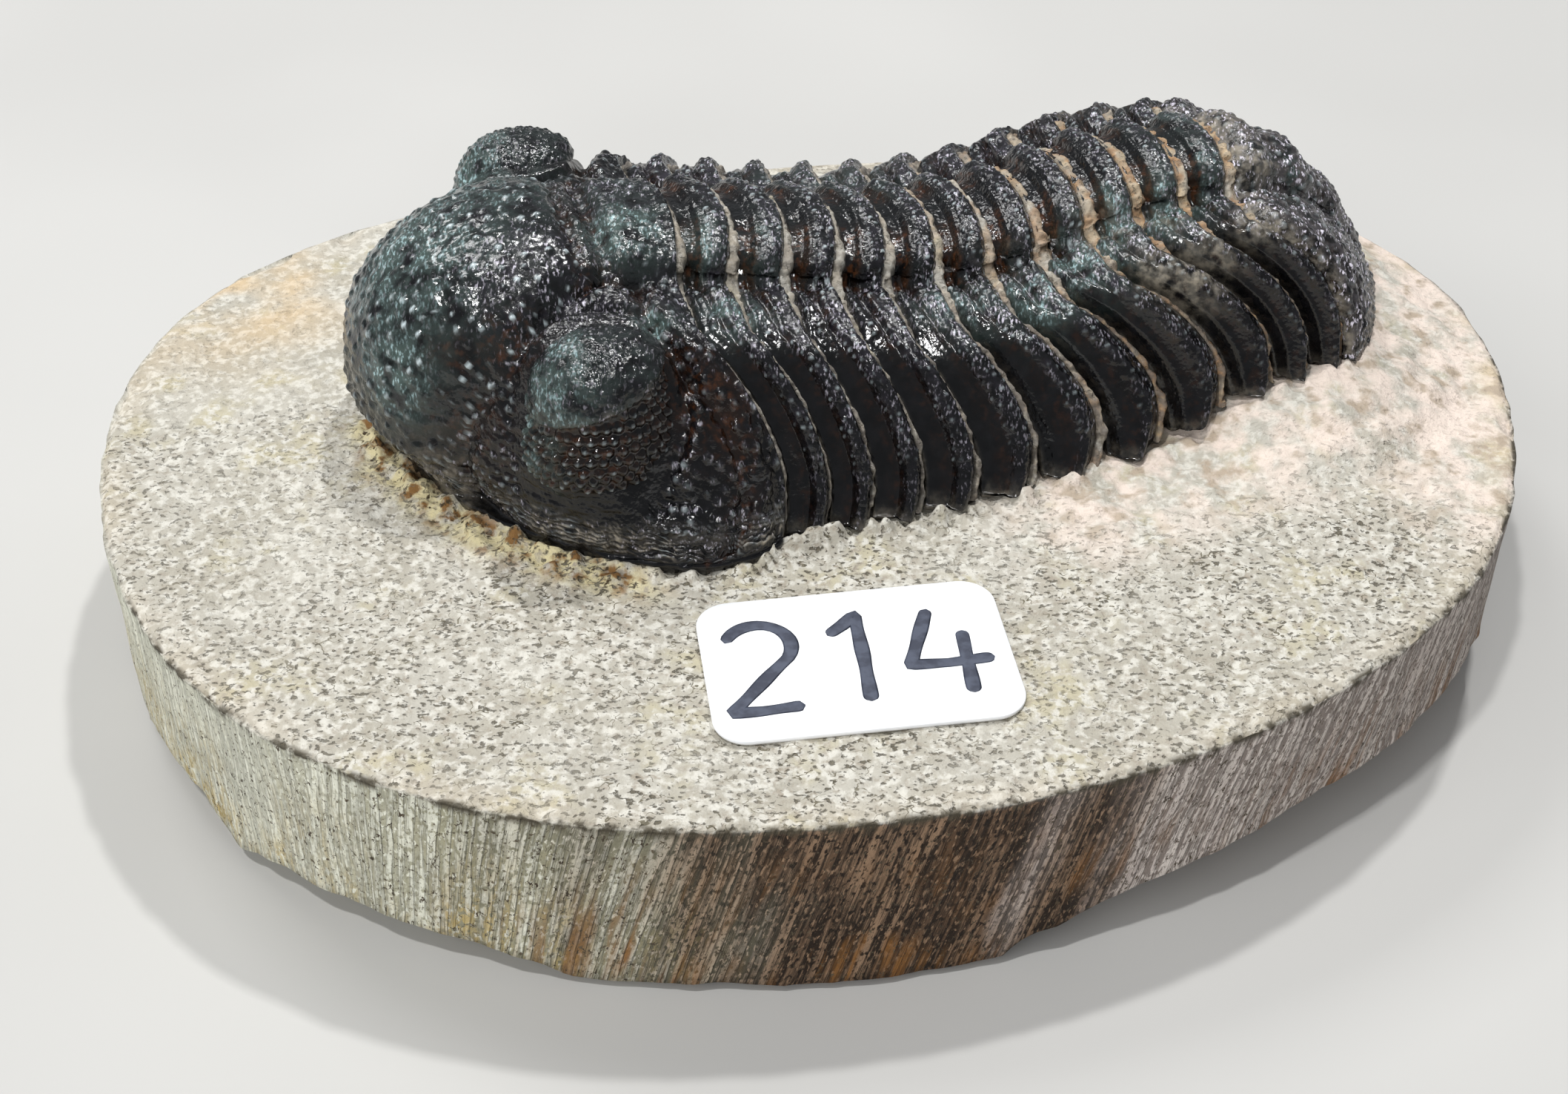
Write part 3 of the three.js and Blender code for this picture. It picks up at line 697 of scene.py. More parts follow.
def head_overhang(across):
    return HEAD_OVERHANG * (1 - smoothstep(np.abs(across), 6, 15))


def head_rear(across):
    side = np.abs(across)
    reach = body_half_width(0)
    corner = np.clip((side - reach) / (HEAD_HALF_WIDTH - reach), 0, 1)
    genal = HEAD_WIDEST_AT + GENAL_CORNER * np.sqrt(1 - corner**2)
    return np.where(side < reach, seam_along(0, across) - SEAM_GAP / 2, genal)


# %% Cheeks
def cheek_height(along, across):
    reach = (np.maximum(0, HEAD_WIDEST_AT - along) / HEAD_FORWARD) ** HEAD_ROUNDNESS
    reach = reach + (np.abs(across) / HEAD_HALF_WIDTH) ** HEAD_ROUNDNESS
    roundness = lerp(*CHEEK_ROUNDNESS, smoothstep(HEAD_WIDEST_AT - along, 2, 8))
    field = soft_min(CHEEK_RISE * np.maximum(0, 1 - reach) ** roundness, CHEEK_TOP, 2)
    border = SEAM_GAP + BORDER_HEIGHT * np.sqrt(np.maximum(0, 1 - ((reach - 0.92) / 0.08) ** 2))
    return np.maximum(field - 0.5 * bump((reach - 0.83) / 0.04), border)


# %% Glabella
def glabella_half_width(along):
    forward = (GLABELLA_WIDEST_AT - along) / (GLABELLA_WIDEST_AT - GLABELLA_FRONT)
    blunt = np.maximum(0, 1 - np.maximum(0, forward) ** GLABELLA_BLUNTNESS) ** (1 / GLABELLA_BLUNTNESS)
    narrowing = lerp(GLABELLA_HALF_WIDTH, axis_half_width(0) - 0.2, smoothstep(along, GLABELLA_WIDEST_AT, 2))
    return np.where(forward > 0, GLABELLA_HALF_WIDTH * blunt, narrowing)


def glabella_crest(along):
    forward = np.maximum(0, GLABELLA_CREST_AT - along) / (GLABELLA_CREST_AT - GLABELLA_FRONT)
    backward = np.maximum(0, along - GLABELLA_CREST_AT)
    dome = np.maximum(0, 1 - forward ** GLABELLA_DOME[0]) ** GLABELLA_DOME[1]
    furrows = 1.3 * bump((along - OCCIPITAL_FURROW_AT) / 0.8) + 0.8 * bump((along - BASAL_FURROW_AT) / 0.5)
    return NOSE_HEIGHT + (GLABELLA_HEIGHT - NOSE_HEIGHT) * dome - GLABELLA_BACK_SLOPE * backward - furrows


def glabella_height(along, across):
    side = np.abs(across) / np.maximum(glabella_half_width(along), 0.01)
    foot = 1 + 12.4 * smoothstep(along, -15, 1.5) ** 1.2
    arch = np.sqrt(np.maximum(0, 1 - np.minimum(side, 1) ** 2.3))
    return np.where(side < 1, foot + (glabella_crest(along) - foot) * arch, 0)


# %% Head surface
def from_eye(along, across):
    """How far out from an eye's middle a place is, with 1 at the turret's side."""
    side = np.abs(across)
    return np.hypot((along - EYE_AT[0]) / EYE_HALF_SIZE[0], (side - EYE_AT[1]) / EYE_HALF_SIZE[1])


def head_height(along, across, back):
    side = np.abs(across)
    to_rear = head_rear(across) - along
    ridge = np.where(side > axis_half_width(0), 0.8 * bump((to_rear - BORDER_FURROW_BEFORE_REAR) / 0.6), 0)
    axial = 0.5 * bump((side - glabella_half_width(along)) / 0.8)
    field = soft_max(cheek_height(along, across) - ridge, glabella_height(along, across), 0.6) - axial
    field = field - 0.8 * bump((from_eye(along, across) - 1.15) / 0.12)
    return lerp(field, section_height(0, across), smoothstep(back, 0.86, 1))


def head_grid(columns, rows):
    """Columns that climb the apron of the front wall, then run back over the head to the first seam."""
    last_turn = math.radians(86.5)
    across = (HEAD_HALF_WIDTH * np.sin(np.linspace(-last_turn, last_turn, columns)))[:, None]
    overhang = head_overhang(across)
    front, rear = head_margin(across) - overhang, head_rear(across)
    edge = SEAM_GAP + EDGE_THICKNESS
    back = np.linspace(0, 1, 900)[None, :] ** 1.35
    along = lerp(front, rear, back)
    height = np.maximum(head_height(along, across, back), edge)
    tuck = overhang * (1 - back) * (1 - smoothstep(height, edge, NOSE_HEIGHT))
    top = np.stack([along + tuck, np.broadcast_to(across, along.shape), height], axis=-1)
    rise = lerp(edge, height[:, :1], np.linspace(0, 1, 60, endpoint=False)[None, :])
    under = overhang * (1 - smoothstep(rise, edge, NOSE_HEIGHT))
    apron = np.stack([front + under, np.broadcast_to(across, rise.shape), rise], axis=-1)
    return respaced(np.concatenate([apron, top], axis=1), rows)


head = head_grid(380, 226)
print("head grid:", head.shape[:2])


# %% [markdown]
# Colour patches have places of their own on this specimen. A patch is given by its middle on the body and
# its size, all in millimetres, and fades out evenly. The finish breaks its edge up later.

# %% Patches
def patches(points, spots):
    """A mask that is 1 in the middle of each (u, v, z, size, strength) spot and fades out around it."""
    mask = np.zeros(points.shape[:-1])
    for *middle, size, strength in spots:
        away = np.linalg.norm(points - np.array(middle, float), axis=-1)
        mask = np.maximum(mask, strength * bump(away / size))
    return mask


# %% Head relief
WRINKLE_STRETCH = np.array([0.6, 0.6, 2.2])
TERRACE_SPACING = 0.34


def terraced(height, points, seed):
    """Fine wrinkled terrace lines that follow the border."""
    wave = 2 * math.pi * height / TERRACE_SPACING + 7 * lumps(points, 1.1, seed, 3)
    return 0.07 * np.sin(wave)


along, across, height = (head[..., k] for k in range(3))
side = np.abs(across)
on_border = smoothstep(height, 0.9, 1.5) * (1 - smoothstep(height, 2.2, 3.4))
side_lobe = bump(np.hypot(along - 0.9, side - 6.6) / 0.9)
wrinkles = lumps(head * WRINKLE_STRETCH, 0.8, 4, 2) * (1 - smoothstep(height, 4, 9)) * (along < 3)
rough = 0.1 * lumps(head, 1.0, 3, 3) + 0.1 * wrinkles
ridges = terraced(height, head, 5)
head = head + normals(head) * (rough + 0.35 * side_lobe + on_border * ridges)[..., None]
print("terrace lines, mm:", ridges.min().round(2), "to", ridges.max().round(2))

# %% Head knobs
on_glabella = (side < glabella_half_width(along) - 0.2) & (along < BASAL_FURROW_AT) & (height > 4.2)
around_it = ~on_glabella & (height > 2.6) & (from_eye(along, across) > 1.12)
on_cheek = around_it & (side > 11) & (along > -6)
head, tubercle = granulated(head, on_glabella, 0.86, 11, 0.3, 0.13, 30000)
head, granule = granulated(head, on_cheek, 0.72, 17, 0.36, 0.17, 30000)
head, fine_granule = granulated(head, around_it & ~on_cheek, 0.58, 19, 0.27, 0.12, 30000)
print("points raised by tubercles and granules:", int((tubercle > 0.1).sum()), int((granule > 0.05).sum()))

# %% Head colours
BROWN_SPOTS = [
    (-7.5, -9, 6, 3.2, 0.8), (-5.1, -9.1, 11.5, 2.0, 1.2), (-8.5, -7.5, 10.5, 1.6, 0.7),
    (5.6, -14.4, 9, 2.8, 1.2),
]
# Patches of wear on the head. They carry painted glints too, most of all the first, on the glabella's top.
WEAR_AND_GLINT_SPOTS = [
    (-3, -5.5, 14.5, 3.6, 1.2), (-0.5, -7.5, 13, 3, 1), (7, -8, 12, 3, 0.9),
    (4, 3, 14, 4, 0.7), (-8, 0, 15, 9, 0.2),
]
HEAD_FILM_SPOTS = [
    (-11.7, -5.7, 8.8, 3, 1.1), (-9.5, -0.5, 13, 6, 0.95), (-8, 7, 12, 7, 0.95),
    (-4.5, 3, 15, 5, 0.65), (3.6, -2.5, 14.5, 2.4, 1.4), (3.7, -9.9, 11.7, 1.4, 1.2),
    (3.8, 3, 14, 3, 0.4),
]
DUSTY_SPOTS = [(-11, -9, 2, 2.5, 0.6)]

before_rear = head_rear(across) - along - BORDER_FURROW_BEFORE_REAR
border_furrow = np.where(side > axis_half_width(0), bump(before_rear / 0.9), 0)
ring_furrows = bump((along - OCCIPITAL_FURROW_AT) / 0.7) + bump((along - BASAL_FURROW_AT) / 0.5)
worn = 0.8 * patches(head, WEAR_AND_GLINT_SPOTS) + 0.35 * (granule + fine_granule > 0.06)
veins = on_border * smoothstep(ridges, 0.0, 0.05) * smoothstep(lumps(head, 1.6, 8, 2), -0.3, 0.4)
# The tips are painted highlights: on the border's terrace crests, on the tubercles, brighter high on the
# glabella, and on the granules.
terrace_highlights = on_border * smoothstep(ridges, 0.03, 0.07) * smoothstep(lumps(head, 0.9, 6, 2), -0.1, 0.5)
tubercle_highlights = lerp(0.4, 1, smoothstep(height, 6, 11)) * smoothstep(tubercle, 0.085, 0.14)
granule_highlights = 0.38 * smoothstep(np.maximum(0.6 * granule, fine_granule), 0.08, 0.14)
smooth_foot = 0.5 * (1 - smoothstep(height, 0.9, 1.4)) + 0.3 * border_furrow
head_masks = {
    "furrow": np.clip(ring_furrows * (side < 7) + 0.8 * border_furrow + patches(head, BROWN_SPOTS), 0, 1),
    "worn": np.clip(worn + 0.8 * on_border * (ridges > 0.015), 0, 1),
    "sheen": patches(head, HEAD_FILM_SPOTS),
    "dust": np.clip(0.12 * on_border + 0.8 * veins + patches(head, DUSTY_SPOTS), 0, 1),
    "polished": np.maximum(0.7 * on_glabella, smooth_foot),
    "tips": 0.3 * terrace_highlights + np.maximum(tubercle_highlights, granule_highlights),
}


# %% Head piece
def with_feet(masks):
    """Gives the two foot points of each column the mask values of the column's ends."""
    ends = {name: (value[:, -1:], value[:, :1]) for name, value in masks.items()}
    return {name: np.concatenate([value, *ends[name]], axis=1) for name, value in masks.items()}


head_loops = on_slab(closed_columns(head, lambda u: np.full_like(u, SEAM_GAP)))
make_piece("cephalon_shell", head_loops, calcite, with_feet(head_masks), ["cephalon"])


# %% [markdown]
# Each eye is a turret with an upright outer wall, set with big round lenses in slanting files, under a roof
# of shell, the palpebral lobe. It is drawn as rings stacked from the cheek to the roof. The lenses are domes
# on a hexagonal pattern 0.8 mm apart, which is their real spacing.

# %% Eye turret
EYE_BASE = 3.4
EYE_EDGE_HEIGHT, EYE_EDGE_RISE = 10.6, 1.3
# A painted highlight on the front of the far eye, laid into its film.
EYE_HIGHLIGHT_SPOTS = [(-4.2, 11, 9.8, 1.8, 1.2)]


def eye_edge(turn):
    """Height of the roof's edge: low at the front, high at the rear."""
    return EYE_EDGE_HEIGHT + EYE_EDGE_RISE * np.cos(turn)


def eye_place(turn, rise, facing):
    """The turret's surface: rise runs 0 to 1 up the wall, and 1 to 2 over the roof to its middle."""
    wall = np.clip(rise, 0, 1)
    roof = np.clip(rise - 1, 0, 1)
    bulge = profile(wall, [(0, 0.78), (0.5, 1.0), (0.93, 0.87), (1, 0.9)])
    radius = np.where(rise < 1, bulge, 0.9 * np.cos(roof * math.pi / 2))
    edge = eye_edge(turn)
    height = np.where(rise < 1, lerp(EYE_BASE, edge, wall), lerp(edge, EYE_TOP, np.sin(roof * math.pi / 2)))
    u = EYE_AT[0] + EYE_HALF_SIZE[0] * radius * np.cos(turn)
    v = facing * EYE_AT[1] + EYE_HALF_SIZE[1] * radius * np.sin(turn)
    return np.stack([u, v, height], axis=-1)


# %% Lenses
LENS_SPACING, LENS_RADIUS, LENS_HEIGHT = 0.78, 0.4, 0.34
LENS_ROWS, FIRST_LENS_ROW_AT = 9, 5.5
HEXAGON_ROW = 0.87


def lens_places(facing):
    """Lens middles in offset rows round the outer half of the wall."""
    places = []
    around = 2 * math.pi * sum(EYE_HALF_SIZE) / 2
    step = 2 * math.pi * LENS_SPACING / around
    for row in range(LENS_ROWS):
        height = FIRST_LENS_ROW_AT + row * LENS_SPACING * HEXAGON_ROW
        for column in range(round(2 * math.pi / step)):
            turn = (column + 0.5 * (row % 2)) * step
            outward = facing * math.sin(turn)
            if outward > -0.25 and height < eye_edge(turn) - 0.45:
                rise = (height - EYE_BASE) / (eye_edge(turn) - EYE_BASE)
                places.append(eye_place(turn, rise, facing))
    jitter = np.random.default_rng(21).uniform(-0.1, 0.1, (len(places), 3))
    return np.array(places) + jitter


# %% Eyes
def make_eye(name, facing):
    turn = np.linspace(0, 2 * math.pi, 250, endpoint=False)[:, None]
    rise = np.linspace(0, 1.98, 700)[None, :]
    grid = respaced(eye_place(turn, rise, facing), 128)
    turn = np.broadcast_to(turn, grid.shape[:2])
    is_roof = grid[..., 2] > eye_edge(turn) - 0.05
    is_wall = ~is_roof & (facing * np.sin(turn) > -0.35) & (grid[..., 2] > 4.9)
    out = np.stack([np.cos(turn), np.sin(turn), np.full(turn.shape, 0.3)], axis=-1)
    normal = normals(grid)
    normal = normal * np.sign(np.sum(normal * out, axis=-1, keepdims=True))
    lenses = lens_places(facing)
    lift = knobs(grid, lenses, LENS_RADIUS, LENS_HEIGHT) - 0.14 * is_wall
    chosen = scatter(grid, is_roof | ~is_wall, 0.5, 23, 12000)
    granules = knobs(grid, grid.reshape(-1, 3)[chosen], 0.2, 0.09)
    grid = grid + normal * (lift + granules + 0.08 * lumps(grid, 0.8, 29, 2))[..., None]

    rim = bump((grid[..., 2] - eye_edge(turn)) / 0.25)
    forward = -np.cos(turn)
    film_on_wall = smoothstep(forward + 0.25 * lumps(grid, 1.6, 27, 2), 0.35, 1.0)
    film = (0.2 + 0.5 * smoothstep(forward, -0.2, 0.9)) * np.maximum(is_roof, 0.8 * film_on_wall)
    # The tips are painted highlights on the lens tops, and the spot added to the film is a painted highlight.
    masks = {
        "furrow": 0.8 * is_wall,
        "worn": 0.18 * is_roof + 0.7 * rim,
        "sheen": film + patches(grid, EYE_HIGHLIGHT_SPOTS),
        "dust": 0.25 * rim,
        "polished": 0.8 * is_wall,
        "tips": 0.5 * is_wall * smoothstep(lift, 0.14, 0.21),
    }
    rings = on_slab(grid.transpose(1, 0, 2))
    make_piece(name, rings, calcite, {mask: values.T for mask, values in masks.items()})
    print(name, len(lenses), "lenses")


make_eye("near_eye", -1)
make_eye("far_eye", 1)


# %% [markdown]
# A thorax plate has three stretches. The axial ring has a sunken front part, the furrow that slid under the
# ring before it, and a raised rear part. The inner pleura is two bands with a slanting furrow between them.
# The outer pleura has a smooth hollow facet in front, for sliding when the animal rolled up, and a raised
# rear ridge. Each is a profile from the plate's front edge, 0, to its rear edge, 1, blended across the body.

# %% Plate relief
RING_PROFILE = [(0, -0.5), (0.06, -0.65), (0.28, -0.55), (0.46, -0.05), (0.66, 0.14), (0.88, 0.1), (1, -0.35)]
INNER_PROFILE = [(0, -0.5), (0.13, -0.08), (0.6, 0.0), (0.85, 0.14), (1, -0.3)]
FACET_PROFILE = [(0, -0.85), (0.1, -0.75), (0.5, -0.5), (0.68, 0.12), (0.82, 0.34), (0.92, 0.22), (1, -0.45)]
PLUMP_PROFILE = [(0, -1.2), (0.3, -0.25), (0.72, 0.3), (1, -0.6)]
STREAK_STRETCH = np.array([2.4, 0.45, 0.45])
# The facet's inner end lies further out at the plate's rear edge, by this much.
FACET_SLANT = 3.6


def plate_zones(seam, across, place=0.4):
    """How much a place belongs to the ring, the inner and the outer pleura, and its way to the fulcrum."""
    side = np.abs(across)
    axis = axis_half_width(seam)
    fulcrum = lerp(axis, body_half_width(seam), FULCRUM_SHARE) + FACET_SLANT * (place - 0.4)
    ring = 1 - smoothstep(side, axis - 0.35, axis + 0.2)
    outer = smoothstep(side, fulcrum - 1.4, fulcrum + 1.4)
    return ring, (1 - ring) * (1 - outer), outer, (side - axis) / (fulcrum - axis)


def plate_relief(place, seam, points, number):
    side = np.abs(points[..., 1])
    ring, inner, outer, out = plate_zones(seam, points[..., 1], place)
    axis = axis_half_width(seam)
    split = place - lerp(0.34, 0.54, np.clip(out, 0, 1))
    plump = smoothstep(number, 4, 7)
    pleura = profile(place, INNER_PROFILE) - 0.45 * bump(split / 0.085)
    facet = lerp(profile(place, FACET_PROFILE), profile(place, PLUMP_PROFILE), plump)
    swell = 0.2 * bump((side - 0.83 * axis) / 0.8) * bump((place - 0.72) / 0.2)
    groove = 0.5 * bump((side - axis) / 0.45) * (1 - 0.5 * smoothstep(place, 0.5, 1))
    pit = 0.8 * bump((side - axis + 0.5) / 0.7) * bump((place - 0.2) / 0.14)
    relief = ring * profile(place, RING_PROFILE) + inner * pleura + outer * facet
    rough = (0.12 - 0.09 * outer * (1 - smoothstep(place, 0.5, 0.66))) * lumps(points, 1.2, 31, 2)
    streaked = inner + 0.35 * outer * smoothstep(place, 0.55, 0.7)
    streaks = 0.16 * streaked * lumps(points * STREAK_STRETCH, 0.9, 33, 2)
    return relief + swell * ring - groove - pit + rough + streaks


# %% Plate grid
def even_shares(seam, count):
    """Shares of the body's width at equal steps along its section."""
    fine = np.linspace(-1, 1, 2001)
    steps = np.linalg.norm(np.diff(body_point(np.full_like(fine, seam), fine), axis=0), axis=-1)
    run = np.concatenate([[0], np.cumsum(steps)])
    return np.interp(np.linspace(0, run[-1], count), run, fine)


def plate_grid(number, columns, rows):
    share = even_shares(number - 0.5, columns)[:, None]
    place = np.linspace(0, 1, rows)[None, :]
    tip = np.clip((np.abs(share) - 0.84) / 0.16, 0, 1)
    tip_width = lerp(0.8, 0.35, smoothstep(number, 3, 7))
    narrow = 1 - (1 - tip_width) * (1 - np.sqrt(1 - tip**2))
    half_gap = SEAM_GAP / 2 / SEGMENT_PITCH
    spread = 0.5 + (place - 0.5) * narrow
    seam = lerp(number - 1 + half_gap, number - half_gap, spread)
    base = body_point(seam, share)
    relief = plate_relief(place, seam, base, number)
    points = base + normals(base) * relief[..., None]
    floor = rest_level(points[..., 0]) + 0.35 * EDGE_THICKNESS
    points[..., 2] = np.maximum(points[..., 2], floor)
    return points, np.broadcast_to(place, seam.shape), seam


# %% Patches on the thorax and tail
FILM_SPOTS = [
    (9, -9.5, 11, 1.8, 1.2), (7.5, -3.5, 13.5, 2.2, 1.1), (12, -3, 12, 2.5, 0.6),
    (24, -9, 9.5, 2.4, 0.8), (29, -9.5, 10, 2.6, 1.2), (33, -8, 11, 2.6, 1.3),
    (36, -5.5, 11.5, 2.4, 1.2), (39, -6, 12.5, 2.4, 1.3), (43, -4, 14, 3, 0.8),
    (46, 3, 14, 5, 0.6), (20, 8, 10, 6, 0.4),
]
CRUST_SPOTS = [
    (36.9, -10.7, 10.4, 1.5, 1), (39.2, -11.2, 10, 1.9, 1.1), (41.5, -10.2, 10.8, 1.4, 0.8),
    (35.1, -6.2, 11.5, 1.6, 0.8), (39, -6.4, 12, 1.5, 0.7), (47.1, -3.6, 12.8, 1.7, 1.1),
    (44.6, -9.2, 11.8, 1.5, 0.9), (28, -6, 10.6, 1.2, 0.5), (47.5, 1.5, 13.5, 2, 0.7),
    (40, 12, 9, 3, 0.8), (24, 14, 6, 4, 0.5),
]


# %% Thorax plates
def make_plate(number):
    points, place, seam = plate_grid(number, 288, 34)
    side = np.abs(points[..., 1])
    ring, inner, outer, out = plate_zones(seam, points[..., 1], place)
    fade = 1 - smoothstep(out + 0.3 * lumps(points, 1.8, 35), 0.7, 2.1)
    crest = smoothstep(place, 0.5, 0.66)
    allowed = (crest > 0.4) & (place < 0.95) | (inner > 0.5) & (place > 0.12) & (place < 0.3)
    points, lift = granulated(points, allowed & (points[..., 2] > 3), 0.5, 40 + number, 0.21, 0.09, 5000)

    low = 1 - smoothstep(points[..., 2] - rest_level(points[..., 0]), 0.2, 1.2)
    edge = bump((place - 1) / 0.05) + bump(place / 0.04)
    ring_furrow = 1.5 * ring * smoothstep(side, 1, 3) * (1 - smoothstep(place, 0.34, 0.52))
    side_furrow = (0.5 * inner + 0.3 * outer) * bump((place - 0.45) / 0.16)
    # The tips are painted highlights on the granules, and the wear carries painted glints; both fade past the
    # fulcrum, where the plates turn away from the light.
    masks = {
        "furrow": np.clip(ring_furrow + side_furrow, 0, 1.5),
        "worn": np.clip((crest * (0.6 + 0.4 * (lift > 0.04)) + 0.35 * inner) * (0.18 + 0.82 * fade), 0, 1),
        "sheen": patches(points, FILM_SPOTS) * (1 - 0.7 * ring * (place < 0.4)),
        "dust": np.clip(0.3 * edge + 0.2 * low + 0.85 * patches(points, CRUST_SPOTS), 0, 1),
        "polished": 0.7 * inner + outer * lerp(0.7, 0.2, crest),
        "tips": 0.7 * (0.2 + 0.8 * fade) * smoothstep(lift, 0.06, 0.1),
    }
    name, segment = f"thorax_plate_{number:02d}", f"thorax_segment_{number:02d}"
    loops = on_slab(closed_columns(points, rest_level))
    make_piece(name, loops, calcite, with_feet(masks), [segment])


for plate in range(1, SEGMENTS + 1):
    make_plate(plate)


# %% [markdown]
# The tail shield is a quarter dome of fused plates. Its rings and ribs are low and its surface is coarsely
# granular, so it looks greyer and duller than the thorax. A plain dome could carry them as a bump, but they
# show in its outline. So its columns start on the last seam and fan out to its rounded edge: each column then
# crosses the rings in turn.

# %% Tail shield
TAIL_LENGTH, TAIL_CORNER_AT, TAIL_HALF_WIDTH, TAIL_POINTEDNESS = 8.2, 50.4, 13.6, 1.4
TAIL_AXIS_END, TAIL_EDGE_INSET = 2.5, 0.6
TAIL_EDGE_HEIGHT, TAIL_RINGS = 1.9, 5
TAIL_FILM_SPOTS = [(50, -4, 12, 2.5, 0.5)]


def tail_point(back, share):
    start = body_point(np.full_like(share, SEGMENTS), share)
    side = np.abs(share)
    edge = TAIL_HALF_WIDTH - TAIL_EDGE_INSET
    outer = lerp(TAIL_AXIS_END, edge, (side - AXIS_SHARE) / (1 - AXIS_SHARE))
    fan = np.where(side < AXIS_SHARE, TAIL_AXIS_END * side / AXIS_SHARE, outer)
    round_end = (1 - (fan / TAIL_HALF_WIDTH) ** TAIL_POINTEDNESS) ** (1 / TAIL_POINTEDNESS)
    out = np.sin(back * math.pi / 2)
    fall = np.maximum(0, np.cos(back * math.pi / 2)) ** 1.8
    u = lerp(start[..., 0] + SEAM_GAP / 2, TAIL_CORNER_AT + TAIL_LENGTH * round_end, out)
    v = lerp(start[..., 1], np.sign(share) * fan, out)
    return np.stack([u, v, lerp(TAIL_EDGE_HEIGHT, start[..., 2], fall)], axis=-1)


def make_tail():
    share = even_shares(SEGMENTS, 230)[:, None]
    back, shares = np.broadcast_arrays(np.linspace(0, 1, 400)[None, :], share)
    grid = respaced(np.concatenate([tail_point(back, shares), back[..., None]], axis=-1), 120)
    tail, back = grid[..., :3], grid[..., 3]
    side = np.abs(share)
    axis = 1 - smoothstep(side, AXIS_SHARE - 0.03, AXIS_SHARE + 0.03)
    ribs = np.cos(2 * math.pi * (TAIL_RINGS * back + 0.5)) * (1 - back)
    furrow = 0.55 * bump((side - AXIS_SHARE) / 0.035) * (1 - back)
    relief = lerp(0.2, 0.36, axis) * ribs - furrow
    relief = relief + 0.1 * lumps(tail, 1.6, 61, 3) - 0.4 * bump(back / 0.04)
    tail = tail + normals(tail) * relief[..., None]
    tail[..., 2] = np.maximum(tail[..., 2], rest_level(tail[..., 0]) + 0.35 * EDGE_THICKNESS)
    tail, lift = granulated(tail, back > 0.04, 0.64, 67, 0.32, 0.14, 16000)
    low = 1 - smoothstep(tail[..., 2] - rest_level(tail[..., 0]), 0.3, 2.2)
    # The tips are painted highlights on the granules, and the wear over the whole tail carries painted
    # glints.
    masks = {
        "furrow": 0.6 * np.clip(-ribs, 0, 1),
        "worn": 1.6 + 0.9 * (lift > 0.06),
        "sheen": patches(tail, TAIL_FILM_SPOTS),
        "dust": 0.14 + 0.3 * low + 0.8 * bump(back / 0.05) + 0.7 * patches(tail, CRUST_SPOTS),
        "polished": np.zeros(back.shape),
        "tips": 0.35 * smoothstep(lift, 0.07, 0.14),
    }
    loops = on_slab(closed_columns(tail, rest_level))
    make_piece("pygidium_shell", loops, calcite, with_feet(masks), ["pygidium"])


make_tail()


# %% [markdown]
# Pale limestone still fills the seams between the plates. It stands as a ragged bead in each seam, just under
# the shell's surface, and sinks out of sight below the plates on both sides. Small stones could be scattered
# in the seams, but the real filling is one rib of rock. So one grid carries all twelve beads, each a hump
# over its own seam.

# %% Rock in the seams
BEAD_ROWS = 14
BEAD_HALF_WIDTH = 0.95


def seam_rock():
    share = even_shares(5.5, 400)[:, None]
    offset = np.linspace(-BEAD_HALF_WIDTH, BEAD_HALF_WIDTH, BEAD_ROWS) / SEGMENT_PITCH
    seam = (np.arange(SEGMENTS + 1)[:, None] + offset[None, :]).reshape(1, -1)
    away = np.tile(offset, (len(share), SEGMENTS + 1)) * SEGMENT_PITCH
    base = body_point(np.clip(seam, 0.0, SEGMENTS) + 0 * share, share + 0 * seam)
    base[..., 0] += (seam - np.clip(seam, 0, SEGMENTS)) * SEGMENT_PITCH
    ring, inner, outer, _ = plate_zones(np.clip(seam, 0, SEGMENTS), base[..., 1])
    side = np.abs(base[..., 1])
    rear = smoothstep(seam, 5.5, 8.5) * (1 - smoothstep(side, 7.5, 10.5))
    ragged = 0.16 * lumps(base, 1.5, 71, 2) + 0.2 * lumps(base, 0.5, 73, 2)
    sunk = 0.44 + 0.4 * smoothstep(seam, 5.5, 8)
    crown = lerp(-0.36 * ring - 0.34 * inner - sunk * outer, -0.5, rear) + ragged
    width = lerp(0.34 + 0.42 * smoothstep(side, 1.5, 4) * (1 - smoothstep(side, 7, 10)), 0.7, rear)
    middle = 0.36 * rear - 0.02 + 0.12 * lumps(base, 1.1, 75, 2) + 0.08 * lumps(base, 0.45, 76)
    relief = crown - (np.abs(away - middle) / width) ** 3.2
    points = base + normals(base) * np.maximum(relief, -2.2)[..., None]
    points[..., 2] = np.maximum(points[..., 2], rest_level(points[..., 0]) + 0.1)
    return points


rock_between = seam_rock()
rock_loops = on_slab(closed_columns(rock_between, lambda u: rest_level(u) - 0.2))
aft = smoothstep(rock_between[..., 0], 18, 40)
# The beads' grey, with painted shade added where they sink between the outer pleurae.
deep = smoothstep(np.abs(rock_between[..., 1]), 6.5, 10)
bead_masks = {
    "orange": 0.1 + 0.7 * aft,
    "warm": 0.05 + 0.6 * aft,
    "pitted": np.full(aft.shape, 0.5),
    "dim": 0.45 + 0.5 * deep * (1 - 0.25 * aft),
}
make_piece("rock_between_plates", rock_loops, limestone, with_feet(bead_masks))


# %% [markdown]
# The slab was sawn out along an oval line, so its side is upright and its bottom rim is broken. A subdivided
# block would spend as many faces on its underside as on its top. So it is drawn as rings of points, from the
# underside, up the side, and in over the top face, where the relief is: the mound under the tail, a ragged
# fillet left against the shell, and the pits of the powder jet.

